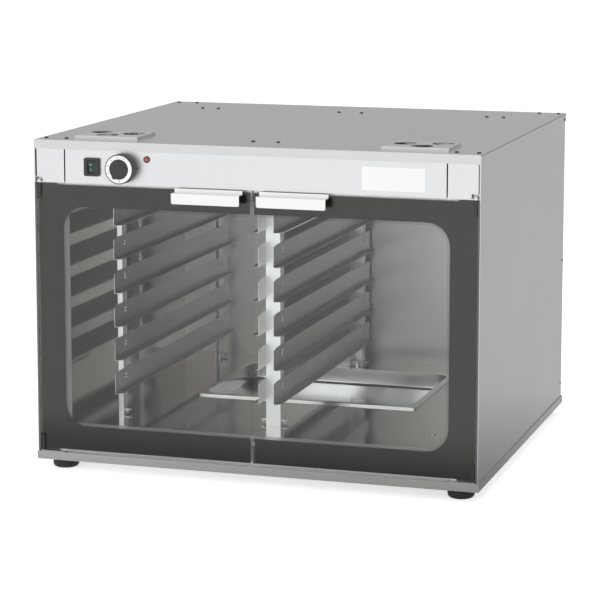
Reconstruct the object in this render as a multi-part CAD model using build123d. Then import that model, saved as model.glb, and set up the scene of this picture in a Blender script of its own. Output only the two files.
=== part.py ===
from build123d import *
import math
import os

# Dough proofer: a stainless heated cabinet on four rubber feet, with two glass doors,
# two tray racks and a water pan sunk in its floor. Millimetres, +Z up, doors face -Y.
# The origin is under the middle of the whole object, on the floor that it stands on.

# Cabinet
CABINET_WIDTH = 1030.0
CABINET_DEPTH = 930.0
BODY_HEIGHT = 735.0
SKIN = 1.2
FOOT_HEIGHT = 25.0
FOOT_DIAMETER = 60.0
FOOT_INSET = 48.0
FOOT_ROUNDING = 9.0
TRAY_SHEET = 1.5
TRAY_PROUD = 2.0
TRAY_RIM = 18.5
COVER_LIP = 20.0
SIDE_SETBACK = 8.0
SIDE_HEM_WIDTH = 1.8
SIDE_HEM_DEPTH = 12.0
SIDE_TOP_FLANGE = 15.0
REAR_FLANGE = 16.0
CUT = 1.0

# Fascia above the doors
FASCIA_HEIGHT = 75.0
FASCIA_OVERLAP = 14.0
FASCIA_SEAM_INSET = 74.0
FASCIA_SEAM_GAP = 3.0
FASCIA_SIDE_GAP = 1.5
FASCIA_BEND = 3.0
FASCIA_RETURN = 10.0
PIVOT_NOTCH_WIDTH = 16.0
PIVOT_NOTCH_HEIGHT = 11.0

# Front frame and seal
FRAME_SETBACK = 14.0
FRAME_SHEET = 1.5
FRAME_HEAD = 12.0
JAMB_STEP = 41.0
MOUTH_CEILING_DROP = 18.0
JAMB_DEPTH = 28.5
SEAL_WIDTH = 10.0
SEAL_OFFSET = 4.0
SEAL_CLEARANCE = 0.3

# Cavity
LINER = 1.0
FLOOR_HEIGHT = 79.0
FLOOR_FRONT_GAP = 1.0
SIDE_WOOL = 21.6
REAR_WOOL = 14.3
CEILING_WOOL = 20.0

# Doors
DOOR_GLASS = 6.0
DOOR_TOP_GAP = 2.5
DOOR_BOTTOM_GAP = 3.0
DOOR_SIDE_GAP = 7.0
DOOR_SPLIT = 3.0
DOOR_CORNER = 2.0
BORDER_THICK = 0.4
BORDER_MARGIN = 3.5
WINDOW_SIDE_MARGIN = 2.0
WINDOW_TOP_MARGIN = 15.0
WINDOW_FLOOR_MARGIN = 2.5
WINDOW_RADIUS = 52.0

# Hinges at the outer corners of each door
SHOE_WIDTH = 8.0
SHOE_HEIGHT = 36.0
SHOE_PLATE_LENGTH = 42.0
SHOE_PLATE_THICK = 2.0
SHOE_PLATE_INSET = 2.0
PIVOT_DIAMETER = 4.0
PIVOT_CLEARANCE = 0.05
PIVOT_ENGAGEMENT = 14.0
PIVOT_TAB_LENGTH = 58.0
PIVOT_TAB_THICK = 3.0
PIVOT_TAB_GAP = 1.2
PIVOT_TAB_SETBACK = 0.5
PIVOT_TAB_OVERHANG = 1.0
PIVOT_NOTCH_GAP = 1.0
PIVOT_LEG_HEIGHT = 14.0
PIVOT_HEAD_DIAMETER = 9.0
PIVOT_HEAD_HEIGHT = 4.0

# Door handles
HANDLE_LENGTH = 158.0
HANDLE_FROM_SPLIT = 18.0
HANDLE_SHEET = 2.0
HANDLE_FLANGE = 10.0
HANDLE_REACH = 26.0
HANDLE_LIP = 24.0
HANDLE_CORNER = 4.0
HANDLE_BEND = 1.8
HANDLE_STUD_SPACING = 110.0
HANDLE_STUD_DIAMETER = 4.0
HANDLE_NUT_DIAMETER = 9.0
HANDLE_NUT_HEIGHT = 4.5
GLASS_HOLE_CLEARANCE = 0.5

# Magnetic catches
CATCH_WIDTH = 40.0
CATCH_HEIGHT = 10.0
CATCH_FROM_SPLIT = 12.0
CATCH_DROP = 12.5
CATCH_SEAL_GAP = 1.0
CATCH_AIR_GAP = 0.4
STRIKE_THICK = 1.5

# Controls on the fascia
CONTROL_RISE = 37.5
KNOB_INSET = 215.0
KNOB_SKIRT_DIAMETER = 67.0
KNOB_SKIRT_DEPTH = 13.0
KNOB_GRIP_DIAMETER = 43.0
KNOB_REACH = 32.0
KNOB_GAP = 0.6
KNOB_ROUNDING = 2.0
KNOB_NOSE_WIDTH = 9.0
KNOB_NOSE_REACH = 4.0
KNOB_REST_ANGLE = 121.0
DIAL_OUTER_DIAMETER = 62.0
DIAL_INNER_DIAMETER = 45.0
DIAL_THICK = 0.8
SPINDLE_DIAMETER = 6.0
SPINDLE_CLEARANCE = 0.05
SPINDLE_HOLE_DIAMETER = 14.0
SPINDLE_END_GAP = 1.0
THERMOSTAT_SIZE = 44.0
THERMOSTAT_DEPTH = 34.0
SWITCH_INSET = 141.0
SWITCH_WIDTH = 37.0
SWITCH_HEIGHT = 41.0
SWITCH_REACH = 7.0
SWITCH_BODY_WIDTH = 30.0
SWITCH_BODY_HEIGHT = 34.0
SWITCH_BODY_DEPTH = 26.0
SWITCH_CORNER = 4.0
ROCKER_WIDTH = 17.0
ROCKER_HEIGHT = 28.0
ROCKER_THICK = 6.0
ROCKER_CLEARANCE = 0.8
ROCKER_TILT = 9.0
LAMP_INSET = 271.0
LAMP_RISE = 58.5
LAMP_BEZEL_DIAMETER = 15.0
LAMP_LENS_DIAMETER = 11.0
LAMP_BODY_DIAMETER = 12.0
LAMP_REACH = 3.0
LAMP_LENS_THICK = 2.0
LAMP_DEPTH = 28.0

# Tray racks
LEVELS = 6
LEVEL_PITCH = 78.4
LOWEST_GUIDE = 59.0
GUIDE_HEIGHT = 50.0
GUIDE_FLANGE = 15.5
GUIDE_SHEET = 1.2
GUIDE_FRONT_Y = 103.0
GUIDE_REAR_GAP = 11.0
GUIDE_NOSE_LENGTH = 38.0
GUIDE_NOSE_DROP = 11.0
GUIDE_FLANGE_CHAMFER = 10.0
GUIDE_REAR_RADIUS = 12.0
CENTRE_POST_WIDTH = 34.0
SIDE_POST_WIDTH = 12.0
POST_DEPTH = 28.0
POST_SHEET = 1.5
FRONT_POST_Y = 169.0
REAR_POST_GAP = 62.0
SIDE_RACK_INSET = 125.0
FOOT_STUD_DIAMETER = 5.0
FOOT_STUD_RISE = 9.0
FOOT_STUD_REACH = 15.0
WING_NUT_DIAMETER = 10.0
WING_NUT_LENGTH = 6.0
WING_SPAN = 22.0
WING_THICK = 2.5
PLUG_DIAMETER = 12.0
PLUG_HEIGHT = 2.0

# Water pan, sunk in the floor under the centre rack
PAN_WIDTH = 542.0
PAN_LENGTH = 398.0
PAN_POST_GAP = 52.0
PAN_DEPTH = 40.0
PAN_SHEET = 1.0
PAN_RIM = 12.0
PAN_ROLL_HEIGHT = 4.6
PAN_ROLL_WIDTH = 3.0
PAN_RIM_CORNER = 7.0
PAN_CORNER = 38.0
PAN_TAPER = 4.0
PAN_BOTTOM_RADIUS = 6.0
PAN_FLOOR_CLEARANCE = 2.0
PAN_SEAT_GAP = 0.1
WELL_MARGIN = 10.0
WELL_BOTTOM_HEIGHT = 15.0

# Heating element under the pan
ELEMENT_DIAMETER = 8.5
ELEMENT_LENGTH = 440.0
ELEMENT_RUN_SPACING = 60.0
ELEMENT_RUNS = 4
ELEMENT_ABOVE_WELL = 10.0
SADDLE_WIDTH = 8.0
SADDLE_CLEARANCE = 0.3

# Control compartment, bulb and supply
BULB_DIAMETER = 6.5
BULB_LENGTH = 90.0
BULB_Y = 320.0
BULB_DROP = 40.0
BULB_WALL_GAP = 6.0
CLIP_LENGTH = 6.0
CLIP_HEIGHT = 4.0
CLIP_END_GAP = 18.0
TERMINAL_WIDTH = 60.0
TERMINAL_DEPTH = 25.0
TERMINAL_HEIGHT = 22.0
TERMINAL_INSET = 165.0
TERMINAL_RISE = 11.0
GLAND_INSET = 75.0
GLAND_RISE = 85.0
GLAND_DIAMETER = 22.0
GLAND_REACH = 12.0
GLAND_NUT_DEPTH = 6.0
GLAND_COLLAR_DIAMETER = 19.0
GLAND_NECK_DIAMETER = 10.0
GLAND_BORE = 9.0
VENT_COUNT = 9
VENT_WIDTH = 60.0
VENT_HEIGHT = 3.0
VENT_PITCH = 8.0
VENT_INSET = 215.0
VENT_TOP_DROP = 24.0

# Locator plates that hold the feet of an oven put on top
LOCATOR_WIDTH = 150.0
LOCATOR_LENGTH = 115.0
LOCATOR_HEIGHT = 7.0
LOCATOR_SHEET = 1.5
LOCATOR_INSET = 157.0
LOCATOR_Y = 102.0
LOCATOR_HOLE = 50.0
OUTER_HOLE = (43.0, 25.0)
INNER_HOLE = (-40.0, 12.0)
FRONT_HOLE = (8.0, -28.0)

# Screws of the top cover
SCREW_DIAMETER = 8.0
SCREW_HEAD = 2.2
CORNER_SCREW_INSET = 14.0
SECOND_SCREW_INSET = 63.0
SCREW_EDGE_Y = 40.0
SCREW_REAR_EDGE_Y = 22.0
MIDDLE_SCREW_X = 29.0
MIDDLE_FRONT_SCREW_Y = 104.0
REAR_ROW_EDGE_Y = 150.0
REAR_ROW_INSETS = (125.0, 167.0)

# Derived levels
FRONT_PROUD = max(KNOB_REACH - SKIN, HANDLE_REACH)
REAR_PROUD = GLAND_REACH - TRAY_SHEET
FRONT = (FRONT_PROUD - REAR_PROUD - CABINET_DEPTH) / 2
REAR = FRONT + CABINET_DEPTH
HALF_WIDTH = CABINET_WIDTH / 2
BASE_Z = FOOT_HEIGHT
TRAY_FLOOR_Z = BASE_Z + TRAY_SHEET
RIM_Z = BASE_Z + TRAY_RIM
TOP_Z = BASE_Z + BODY_HEIGHT
COVER_Z = TOP_Z - SKIN
LIP_Z = TOP_Z - COVER_LIP
FASCIA_Z = LIP_Z - FASCIA_HEIGHT
FASCIA_FACE = FRONT + SKIN
FASCIA_SEAM_X = HALF_WIDTH - FASCIA_SEAM_INSET
FRAME_FACE = FRONT + FRAME_SETBACK
FRAME_BACK = FRAME_FACE + FRAME_SHEET
SIDE_INNER = HALF_WIDTH - SKIN
HEM_INNER = SIDE_INNER - SIDE_HEM_WIDTH
SIDE_REAR = REAR - SIDE_SETBACK
REAR_FACE = REAR - TRAY_SHEET
REAR_INNER = REAR_FACE - SKIN

DOOR_TOP = FASCIA_Z - DOOR_TOP_GAP
DOOR_BOTTOM = RIM_Z + DOOR_BOTTOM_GAP
DOOR_EDGE = HALF_WIDTH - DOOR_SIDE_GAP
DOOR_BACK = FRONT + DOOR_GLASS
ENAMEL_BACK = DOOR_BACK + BORDER_THICK
PIVOT_X = DOOR_EDGE - SHOE_WIDTH / 2
PIVOT_Y = FRONT + DOOR_GLASS / 2
TOP_TAB_Z = DOOR_TOP + PIVOT_TAB_GAP
BOTTOM_TAB_Z = DOOR_BOTTOM - PIVOT_TAB_GAP - PIVOT_TAB_THICK
CATCH_TOP = DOOR_TOP - CATCH_DROP

WOOL_OUTER_X = SIDE_INNER - SKIN
LINER_X = WOOL_OUTER_X - SIDE_WOOL
WALL_X = LINER_X - LINER
WALL_Y = REAR_INNER - REAR_WOOL - LINER
FLOOR_Z = BASE_Z + FLOOR_HEIGHT
FLOOR_UNDER = FLOOR_Z - LINER
MOUTH_X = WALL_X - JAMB_STEP
MOUTH_TOP = CATCH_TOP - CATCH_HEIGHT - CATCH_SEAL_GAP - SEAL_WIDTH - SEAL_OFFSET
CEILING_Z = MOUTH_TOP + MOUTH_CEILING_DROP
WOOL_TOP = CEILING_Z + LINER + CEILING_WOOL
WELL_Z = BASE_Z + WELL_BOTTOM_HEIGHT

FOOT_STUD_Z = FLOOR_Z + FOOT_STUD_RISE
POST_ROWS = (FRONT + FRONT_POST_Y, WALL_Y - REAR_POST_GAP)
SIDE_POST_X = -WALL_X + SIDE_RACK_INSET - GUIDE_SHEET - SIDE_POST_WIDTH / 2
GUIDE_START = FRONT + GUIDE_FRONT_Y
GUIDE_END = WALL_Y - GUIDE_REAR_GAP
PAN_MIDDLE_Y = POST_ROWS[1] - PAN_POST_GAP - PAN_LENGTH / 2
PAN_RIM_TOP = FLOOR_Z + PAN_SEAT_GAP + PAN_ROLL_HEIGHT
WELL_HALF_X = PAN_WIDTH / 2 + WELL_MARGIN
WELL_HALF_Y = PAN_LENGTH / 2 + WELL_MARGIN

CONTROL_Z = FASCIA_Z + CONTROL_RISE
KNOB_X = KNOB_INSET - HALF_WIDTH
SWITCH_X = SWITCH_INSET - HALF_WIDTH
LAMP_X = LAMP_INSET - HALF_WIDTH
LAMP_Z = FASCIA_Z + LAMP_RISE
GLAND_X = HALF_WIDTH - GLAND_INSET
GLAND_Z = BASE_Z + GLAND_RISE


def block(x0, x1, y0, y1, z0, z1):
    """A box between two corners."""
    low = (Align.MIN, Align.MIN, Align.MIN)
    return Box(x1 - x0, y1 - y0, z1 - z0, align=low).moved(Location((x0, y0, z0)))


def rod(axis, diameter, length, x, y, z):
    """A round bar that starts at a point and runs along X, Y or Z."""
    turns = {"X": (0, 90, 0), "Y": (-90, 0, 0), "Z": (0, 0, 0)}
    base = (Align.CENTER, Align.CENTER, Align.MIN)
    bar = Cylinder(diameter / 2, length, align=base)
    return bar.moved(Location((x, y, z), turns[axis]))


def slab(width, length, corner, x, y, z, height):
    """A plate with rounded corners, flat on its lower face."""
    outline = Pos(x, y, z) * RectangleRounded(width, length, corner)
    return extrude(outline, amount=height)


def side_profile(points, x0, x1):
    """A sheet section drawn in Y and Z and run along X."""
    face = Plane.YZ * Polygon(*points, align=None)
    return extrude(face, amount=x1 - x0, dir=(1, 0, 0)).moved(Location((x0, 0, 0)))


def mirror_x(shape):
    """The same piece on the other side of the cabinet."""
    return mirror(shape, about=Plane.YZ)


def save(shape, name):
    """Writes one piece, or one set of like pieces, under its own name."""
    if isinstance(shape, (list, tuple)):
        shape = Compound(children=[s for piece in shape for s in piece.solids()])
    shape.label = name
    export_step(shape, f"parts/{name}.step")


# Base and feet


def base_tray():
    half = HALF_WIDTH + TRAY_PROUD
    outer = block(-half, half, FRONT - TRAY_PROUD, REAR, BASE_Z, RIM_Z)
    inner = block(
        -half + TRAY_SHEET,
        half - TRAY_SHEET,
        FRONT - TRAY_PROUD + TRAY_SHEET,
        REAR - TRAY_SHEET,
        TRAY_FLOOR_Z,
        RIM_Z,
    )
    return outer - inner


def foot(x, y):
    radius = FOOT_DIAMETER / 2
    with_edge = Pos(x, y, 0) * Cylinder(radius, FOOT_HEIGHT, align=(Align.CENTER, Align.CENTER, Align.MIN))
    bottom = with_edge.edges().filter_by(GeomType.CIRCLE).group_by(Axis.Z)[0]
    return fillet(bottom, FOOT_ROUNDING)


def feet():
    x = HALF_WIDTH - FOOT_INSET
    return [foot(sx * x, y) for sx in (-1, 1) for y in (FRONT + FOOT_INSET, REAR - FOOT_INSET)]


# Outer panels


def side_panel():
    web = block(SIDE_INNER, HALF_WIDTH, FRONT, SIDE_REAR, TRAY_FLOOR_Z, COVER_Z)
    hem = block(HEM_INNER, SIDE_INNER, FRONT, FRONT + SIDE_HEM_DEPTH, RIM_Z, LIP_Z)
    flange = block(
        SIDE_INNER - SIDE_TOP_FLANGE,
        SIDE_INNER,
        FRONT + FRAME_SETBACK + FRAME_SHEET,
        SIDE_REAR - REAR_FLANGE,
        COVER_Z - SKIN,
        COVER_Z,
    )
    behind_lip = block(
        SIDE_INNER - CUT, HALF_WIDTH + CUT, FRONT - CUT, FRONT + SKIN, LIP_Z, COVER_Z + CUT
    )
    return web + hem + flange - behind_lip


def rear_panel():
    sheet = block(-SIDE_INNER, SIDE_INNER, REAR_INNER, REAR_FACE, TRAY_FLOOR_Z, COVER_Z)
    flange = block(
        SIDE_INNER - SKIN,
        SIDE_INNER,
        SIDE_REAR - REAR_FLANGE + SKIN,
        REAR_INNER,
        TRAY_FLOOR_Z,
        COVER_Z,
    )
    panel = sheet + flange + mirror_x(flange)
    for side in (-1, 1):
        for row in range(VENT_COUNT):
            z = COVER_Z - VENT_TOP_DROP - row * VENT_PITCH
            half = VENT_WIDTH / 2
            slot = block(-half, half, REAR_INNER - CUT, REAR_FACE + CUT, z - VENT_HEIGHT, z)
            panel -= slot.moved(Location((side * (HALF_WIDTH - VENT_INSET), 0, 0)))
    panel -= rod("Y", GLAND_NECK_DIAMETER, SKIN + 2 * CUT, GLAND_X, REAR_INNER - CUT, GLAND_Z)
    return panel


def top_cover():
    plate = block(-HALF_WIDTH, HALF_WIDTH, FRONT, REAR, COVER_Z, TOP_Z)
    front_lip = block(-HALF_WIDTH, HALF_WIDTH, FRONT, FRONT + SKIN, LIP_Z, COVER_Z)
    rear_lip = block(-HALF_WIDTH, HALF_WIDTH, REAR - SKIN, REAR, LIP_Z, COVER_Z)
    return plate + front_lip + rear_lip


def cover_screws():
    places = []
    for side in (-1, 1):
        for inset in (CORNER_SCREW_INSET, SECOND_SCREW_INSET):
            x = side * (HALF_WIDTH - inset)
            places.append((x, FRONT + SCREW_EDGE_Y))
            places.append((x, REAR - SCREW_REAR_EDGE_Y))
        places.append((side * MIDDLE_SCREW_X, FRONT + MIDDLE_FRONT_SCREW_Y))
        places.append((side * MIDDLE_SCREW_X, REAR - REAR_ROW_EDGE_Y))
        for inset in REAR_ROW_INSETS:
            places.append((side * (HALF_WIDTH - inset), REAR - REAR_ROW_EDGE_Y))
    heads = []
    for x, y in places:
        head = rod("Z", SCREW_DIAMETER, SCREW_HEAD, x, y, TOP_Z)
        top = head.edges().filter_by(GeomType.CIRCLE).group_by(Axis.Z)[-1]
        heads.append(chamfer(top, SCREW_HEAD / 3))
    return heads


def locator_plate(side):
    x = side * (HALF_WIDTH - LOCATOR_INSET)
    y = FRONT + LOCATOR_Y
    half_x = LOCATOR_WIDTH / 2
    half_y = LOCATOR_LENGTH / 2
    shell = block(-half_x, half_x, -half_y, half_y, 0, LOCATOR_HEIGHT)
    inside = block(
        -half_x + LOCATOR_SHEET,
        half_x - LOCATOR_SHEET,
        -half_y + LOCATOR_SHEET,
        half_y - LOCATOR_SHEET,
        0,
        LOCATOR_HEIGHT - LOCATOR_SHEET,
    )
    shell -= inside
    for across, along in (OUTER_HOLE, INNER_HOLE, FRONT_HOLE):
        shell -= rod("Z", LOCATOR_HOLE, LOCATOR_HEIGHT + CUT, side * across, along, 0)
    return shell.moved(Location((x, y, TOP_Z)))


# Fascia


def fascia_sheet(x0, x1):
    """A folded strip: its face, and a bottom flange that reaches the front frame."""
    face = block(x0, x1, FASCIA_FACE, FASCIA_FACE + SKIN, FASCIA_Z, LIP_Z + FASCIA_OVERLAP)
    flange = block(x0, x1, FASCIA_FACE + SKIN, FRAME_FACE, FASCIA_Z, FASCIA_Z + SKIN)
    return face + flange


def centre_fascia():
    half = FASCIA_SEAM_X - FASCIA_SEAM_GAP / 2
    strip = fascia_sheet(-half, half)
    strip -= rod("Y", SPINDLE_HOLE_DIAMETER, 3 * SKIN, KNOB_X, FASCIA_FACE - SKIN, CONTROL_Z)
    strip -= rod("Y", LAMP_BODY_DIAMETER, 3 * SKIN, LAMP_X, FASCIA_FACE - SKIN, LAMP_Z)
    strip -= block(
        SWITCH_X - SWITCH_BODY_WIDTH / 2,
        SWITCH_X + SWITCH_BODY_WIDTH / 2,
        FASCIA_FACE - SKIN,
        FASCIA_FACE + 2 * SKIN,
        CONTROL_Z - SWITCH_BODY_HEIGHT / 2,
        CONTROL_Z + SWITCH_BODY_HEIGHT / 2,
    )
    return strip


def corner_fascia():
    inner = FASCIA_SEAM_X + FASCIA_SEAM_GAP / 2
    outer = HEM_INNER - FASCIA_SIDE_GAP
    notch_x = outer - PIVOT_NOTCH_WIDTH
    notch_z = FASCIA_Z + PIVOT_NOTCH_HEIGHT
    strip = fascia_sheet(inner, outer)
    turned = block(
        outer - SKIN, outer, FASCIA_FACE, FASCIA_FACE + FASCIA_RETURN, FASCIA_Z, LIP_Z + FASCIA_OVERLAP
    )
    strip += turned
    corner = strip.edges().filter_by(Axis.Z).sort_by(Axis.Y).group_by(Axis.X)[-1][0]
    strip = fillet([corner], FASCIA_BEND)
    strip -= block(notch_x, outer + CUT, FRONT - CUT, FRAME_FACE + CUT, FASCIA_Z - CUT, notch_z)
    return strip


# Front frame and seal


def front_frame():
    sheet = block(-SIDE_INNER, SIDE_INNER, FRAME_FACE, FRAME_BACK, TRAY_FLOOR_Z, FASCIA_Z + FRAME_HEAD)
    jamb = block(
        -MOUTH_X - FRAME_SHEET,
        MOUTH_X + FRAME_SHEET,
        FRAME_BACK,
        FRAME_BACK + JAMB_DEPTH,
        FLOOR_Z - FRAME_SHEET,
        MOUTH_TOP + FRAME_SHEET,
    )
    mouth = block(
        -MOUTH_X, MOUTH_X, FRAME_FACE - CUT, FRAME_BACK + JAMB_DEPTH + CUT, FLOOR_Z, MOUTH_TOP
    )
    return sheet + jamb - mouth


def door_gasket():
    inner_x = MOUTH_X + SEAL_OFFSET
    low = FLOOR_Z - SEAL_OFFSET
    high = MOUTH_TOP + SEAL_OFFSET
    y0 = ENAMEL_BACK + SEAL_CLEARANCE
    outer = block(
        -inner_x - SEAL_WIDTH, inner_x + SEAL_WIDTH, y0, FRAME_FACE, low - SEAL_WIDTH, high + SEAL_WIDTH
    )
    edges = outer.edges().filter_by(Axis.Y)
    outer = fillet(edges, SEAL_WIDTH)
    return outer - block(-inner_x, inner_x, y0 - CUT, FRAME_FACE + CUT, low, high)


# Cavity liner and insulation


def cavity_floor():
    y0 = FRAME_BACK + JAMB_DEPTH + FLOOR_FRONT_GAP
    sheet = block(-WALL_X, WALL_X, y0, WALL_Y, FLOOR_UNDER, FLOOR_Z)
    width = PAN_WIDTH - 2 * PAN_RIM + 2 * PAN_FLOOR_CLEARANCE
    length = PAN_LENGTH - 2 * PAN_RIM + 2 * PAN_FLOOR_CLEARANCE
    corner = PAN_CORNER + PAN_FLOOR_CLEARANCE
    return sheet - slab(width, length, corner, 0, PAN_MIDDLE_Y, FLOOR_UNDER - CUT, LINER + 2 * CUT)


def cavity_ceiling():
    return block(-WALL_X, WALL_X, FRAME_BACK, WALL_Y, CEILING_Z, CEILING_Z + LINER)


def cavity_side_wall():
    return block(WALL_X, LINER_X, FRAME_BACK, WALL_Y, FLOOR_UNDER, CEILING_Z + LINER)


def cavity_rear_wall():
    return block(-LINER_X, LINER_X, WALL_Y, WALL_Y + LINER, FLOOR_UNDER, CEILING_Z + LINER)


def side_wool():
    return block(LINER_X, WOOL_OUTER_X, FRAME_BACK, WALL_Y, FLOOR_UNDER, WOOL_TOP)


def rear_wool():
    return block(-WOOL_OUTER_X, WOOL_OUTER_X, WALL_Y + LINER, REAR_INNER, TRAY_FLOOR_Z, WOOL_TOP)


def ceiling_wool():
    return block(-LINER_X, LINER_X, FRAME_BACK, WALL_Y + LINER, CEILING_Z + LINER, WOOL_TOP)


def base_wool():
    y0 = FRAME_BACK + JAMB_DEPTH + FLOOR_FRONT_GAP
    slab_under = block(-WOOL_OUTER_X, WOOL_OUTER_X, y0, WALL_Y + LINER, TRAY_FLOOR_Z, FLOOR_UNDER)
    well = block(
        -WELL_HALF_X,
        WELL_HALF_X,
        PAN_MIDDLE_Y - WELL_HALF_Y,
        PAN_MIDDLE_Y + WELL_HALF_Y,
        WELL_Z,
        FLOOR_UNDER,
    )
    return slab_under - well


# Water pan, its well and the heating element


def pan_well():
    y0 = PAN_MIDDLE_Y - WELL_HALF_Y
    y1 = PAN_MIDDLE_Y + WELL_HALF_Y
    outer = block(-WELL_HALF_X, WELL_HALF_X, y0, y1, WELL_Z, FLOOR_UNDER)
    inner = block(
        -WELL_HALF_X + LINER, WELL_HALF_X - LINER, y0 + LINER, y1 - LINER, WELL_Z + LINER, FLOOR_UNDER
    )
    return outer - inner


def water_pan():
    """A pressed pan: tapered walls, a flat rim and a rolled edge that stands on the floor."""
    width = PAN_WIDTH - 2 * PAN_RIM
    length = PAN_LENGTH - 2 * PAN_RIM
    top = PAN_RIM_TOP
    mouth = Pos(0, PAN_MIDDLE_Y, top) * RectangleRounded(width, length, PAN_CORNER)
    body = extrude(mouth, amount=-PAN_DEPTH, taper=PAN_TAPER)
    body = fillet(body.faces().sort_by(Axis.Z)[0].edges(), PAN_BOTTOM_RADIUS)
    inside_mouth = Pos(0, PAN_MIDDLE_Y, top) * RectangleRounded(
        width - 2 * PAN_SHEET, length - 2 * PAN_SHEET, PAN_CORNER - PAN_SHEET
    )
    inside = extrude(inside_mouth, amount=-(PAN_DEPTH - PAN_SHEET), taper=PAN_TAPER)
    inside = fillet(inside.faces().sort_by(Axis.Z)[0].edges(), PAN_BOTTOM_RADIUS - PAN_SHEET)
    low = top - PAN_ROLL_HEIGHT
    rim = slab(PAN_WIDTH, PAN_LENGTH, PAN_RIM_CORNER, 0, PAN_MIDDLE_Y, low, PAN_ROLL_HEIGHT)
    under_width = PAN_WIDTH - 2 * PAN_ROLL_WIDTH
    under_length = PAN_LENGTH - 2 * PAN_ROLL_WIDTH
    under_corner = PAN_RIM_CORNER - PAN_ROLL_WIDTH
    hollow = slab(
        under_width,
        under_length,
        under_corner,
        0,
        PAN_MIDDLE_Y,
        low,
        PAN_ROLL_HEIGHT - PAN_SHEET,
    )
    rim = rim - hollow
    outer_edges = rim.faces().sort_by(Axis.Z)[-1].outer_wire().edges()
    rim = fillet(outer_edges, PAN_ROLL_WIDTH / 2)
    return rim + body - inside


def heating_element():
    """A serpentine tube of straight runs and half-round bends, lying on its saddles."""
    z = WELL_Z + LINER + ELEMENT_ABOVE_WELL
    lead = -ELEMENT_LENGTH / 2
    reach = ELEMENT_LENGTH / 2 - ELEMENT_RUN_SPACING / 2
    rows = element_rows()
    path = []
    for i, y in enumerate(rows):
        start = lead if i in (0, len(rows) - 1) else -reach
        path.append(Line((start, y, z), (reach, y, z)))
    for i, y in enumerate(rows[:-1]):
        x = reach if i % 2 == 0 else -reach
        bulge = x + math.copysign(ELEMENT_RUN_SPACING / 2, x)
        path.append(ThreePointArc((x, y, z), (bulge, y + ELEMENT_RUN_SPACING / 2, z), (x, rows[i + 1], z)))
    section = Plane(origin=(lead, rows[0], z), z_dir=(1, 0, 0)) * Circle(ELEMENT_DIAMETER / 2)
    return sweep(section, path=Wire(path))


def element_rows():
    middle = (ELEMENT_RUNS - 1) / 2
    return [PAN_MIDDLE_Y + (i - middle) * ELEMENT_RUN_SPACING for i in range(ELEMENT_RUNS)]


def element_saddles():
    """Two racks of saddles that carry the element off the bottom of the well."""
    z0 = WELL_Z + LINER
    z1 = z0 + ELEMENT_ABOVE_WELL
    span = (ELEMENT_RUNS - 1) * ELEMENT_RUN_SPACING / 2 + ELEMENT_DIAMETER
    bars = []
    for side in (-1, 1):
        x = side * ELEMENT_LENGTH / 4
        half = SADDLE_WIDTH / 2
        bar = block(x - half, x + half, PAN_MIDDLE_Y - span, PAN_MIDDLE_Y + span, z0, z1)
        for y in element_rows():
            groove = ELEMENT_DIAMETER + 2 * SADDLE_CLEARANCE
            bar -= rod("X", groove, SADDLE_WIDTH + 2 * CUT, x - half - CUT, y, z1)
        bars.append(bar)
    return bars


# Tray racks


def guide(level):
    """One tray guide, its plate at X = 0 and its flange towards +X."""
    z0 = FLOOR_Z + LOWEST_GUIDE + level * LEVEL_PITCH
    z1 = z0 + GUIDE_HEIGHT
    y0 = GUIDE_START
    y1 = GUIDE_END
    outline = [
        (y0, z0),
        (y1, z0),
        (y1, z1),
        (y0 + GUIDE_NOSE_LENGTH, z1),
        (y0, z1 - GUIDE_NOSE_DROP),
    ]
    plate = side_profile(outline, -GUIDE_SHEET, 0)
    rear_top = plate.edges().filter_by(Axis.X).sort_by(lambda e: e.center().Y + e.center().Z)[-1]
    plate = fillet([rear_top], GUIDE_REAR_RADIUS)
    flange = block(0, GUIDE_FLANGE, y0, y1, z0, z0 + GUIDE_SHEET)
    corners = flange.edges().filter_by(Axis.Z).group_by(Axis.X)[-1]
    flange = chamfer(corners, GUIDE_FLANGE_CHAMFER)
    return plate + flange


def guides(x, side):
    """All the guides on one side of a rack; the plate's inner face is at x."""
    pieces = []
    for level in range(LEVELS):
        piece = guide(level).moved(Location((GUIDE_SHEET, 0, 0)))
        if side < 0:
            piece = mirror_x(piece)
        pieces.append(piece.moved(Location((x, 0, 0))))
    return pieces


def posts(x, width):
    """The front and rear posts of one rack, as channels open to the middle of the cavity."""
    pieces = []
    half = width / 2
    for middle, towards in zip(POST_ROWS, (1, -1)):
        front = middle - POST_DEPTH / 2
        rear = middle + POST_DEPTH / 2
        outer = block(x - half, x + half, front, rear, FLOOR_Z, CEILING_Z)
        shift = towards * POST_SHEET
        inner = block(
            x - half + POST_SHEET, x + half - POST_SHEET, front + shift, rear + shift, FLOOR_Z, CEILING_Z
        )
        hole = rod("X", FOOT_STUD_DIAMETER, width + 2 * CUT, x - half - CUT, middle, FOOT_STUD_Z)
        pieces.append(outer - inner - hole)
    return pieces


def foot_studs(x, width, sides):
    """The cross studs that hold a rack's posts down, longer on each side that has a nut."""
    radius = FOOT_STUD_DIAMETER / 2
    start = x - width / 2 - (FOOT_STUD_REACH if -1 in sides else 0)
    end = x + width / 2 + FOOT_STUD_REACH
    pieces = []
    for y in POST_ROWS:
        stud = rod("X", FOOT_STUD_DIAMETER, end - start, start, y, FOOT_STUD_Z)
        base = block(x - radius, x + radius, y - radius, y + radius, FLOOR_Z, FOOT_STUD_Z)
        pieces.append(stud + base)
    return pieces


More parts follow.
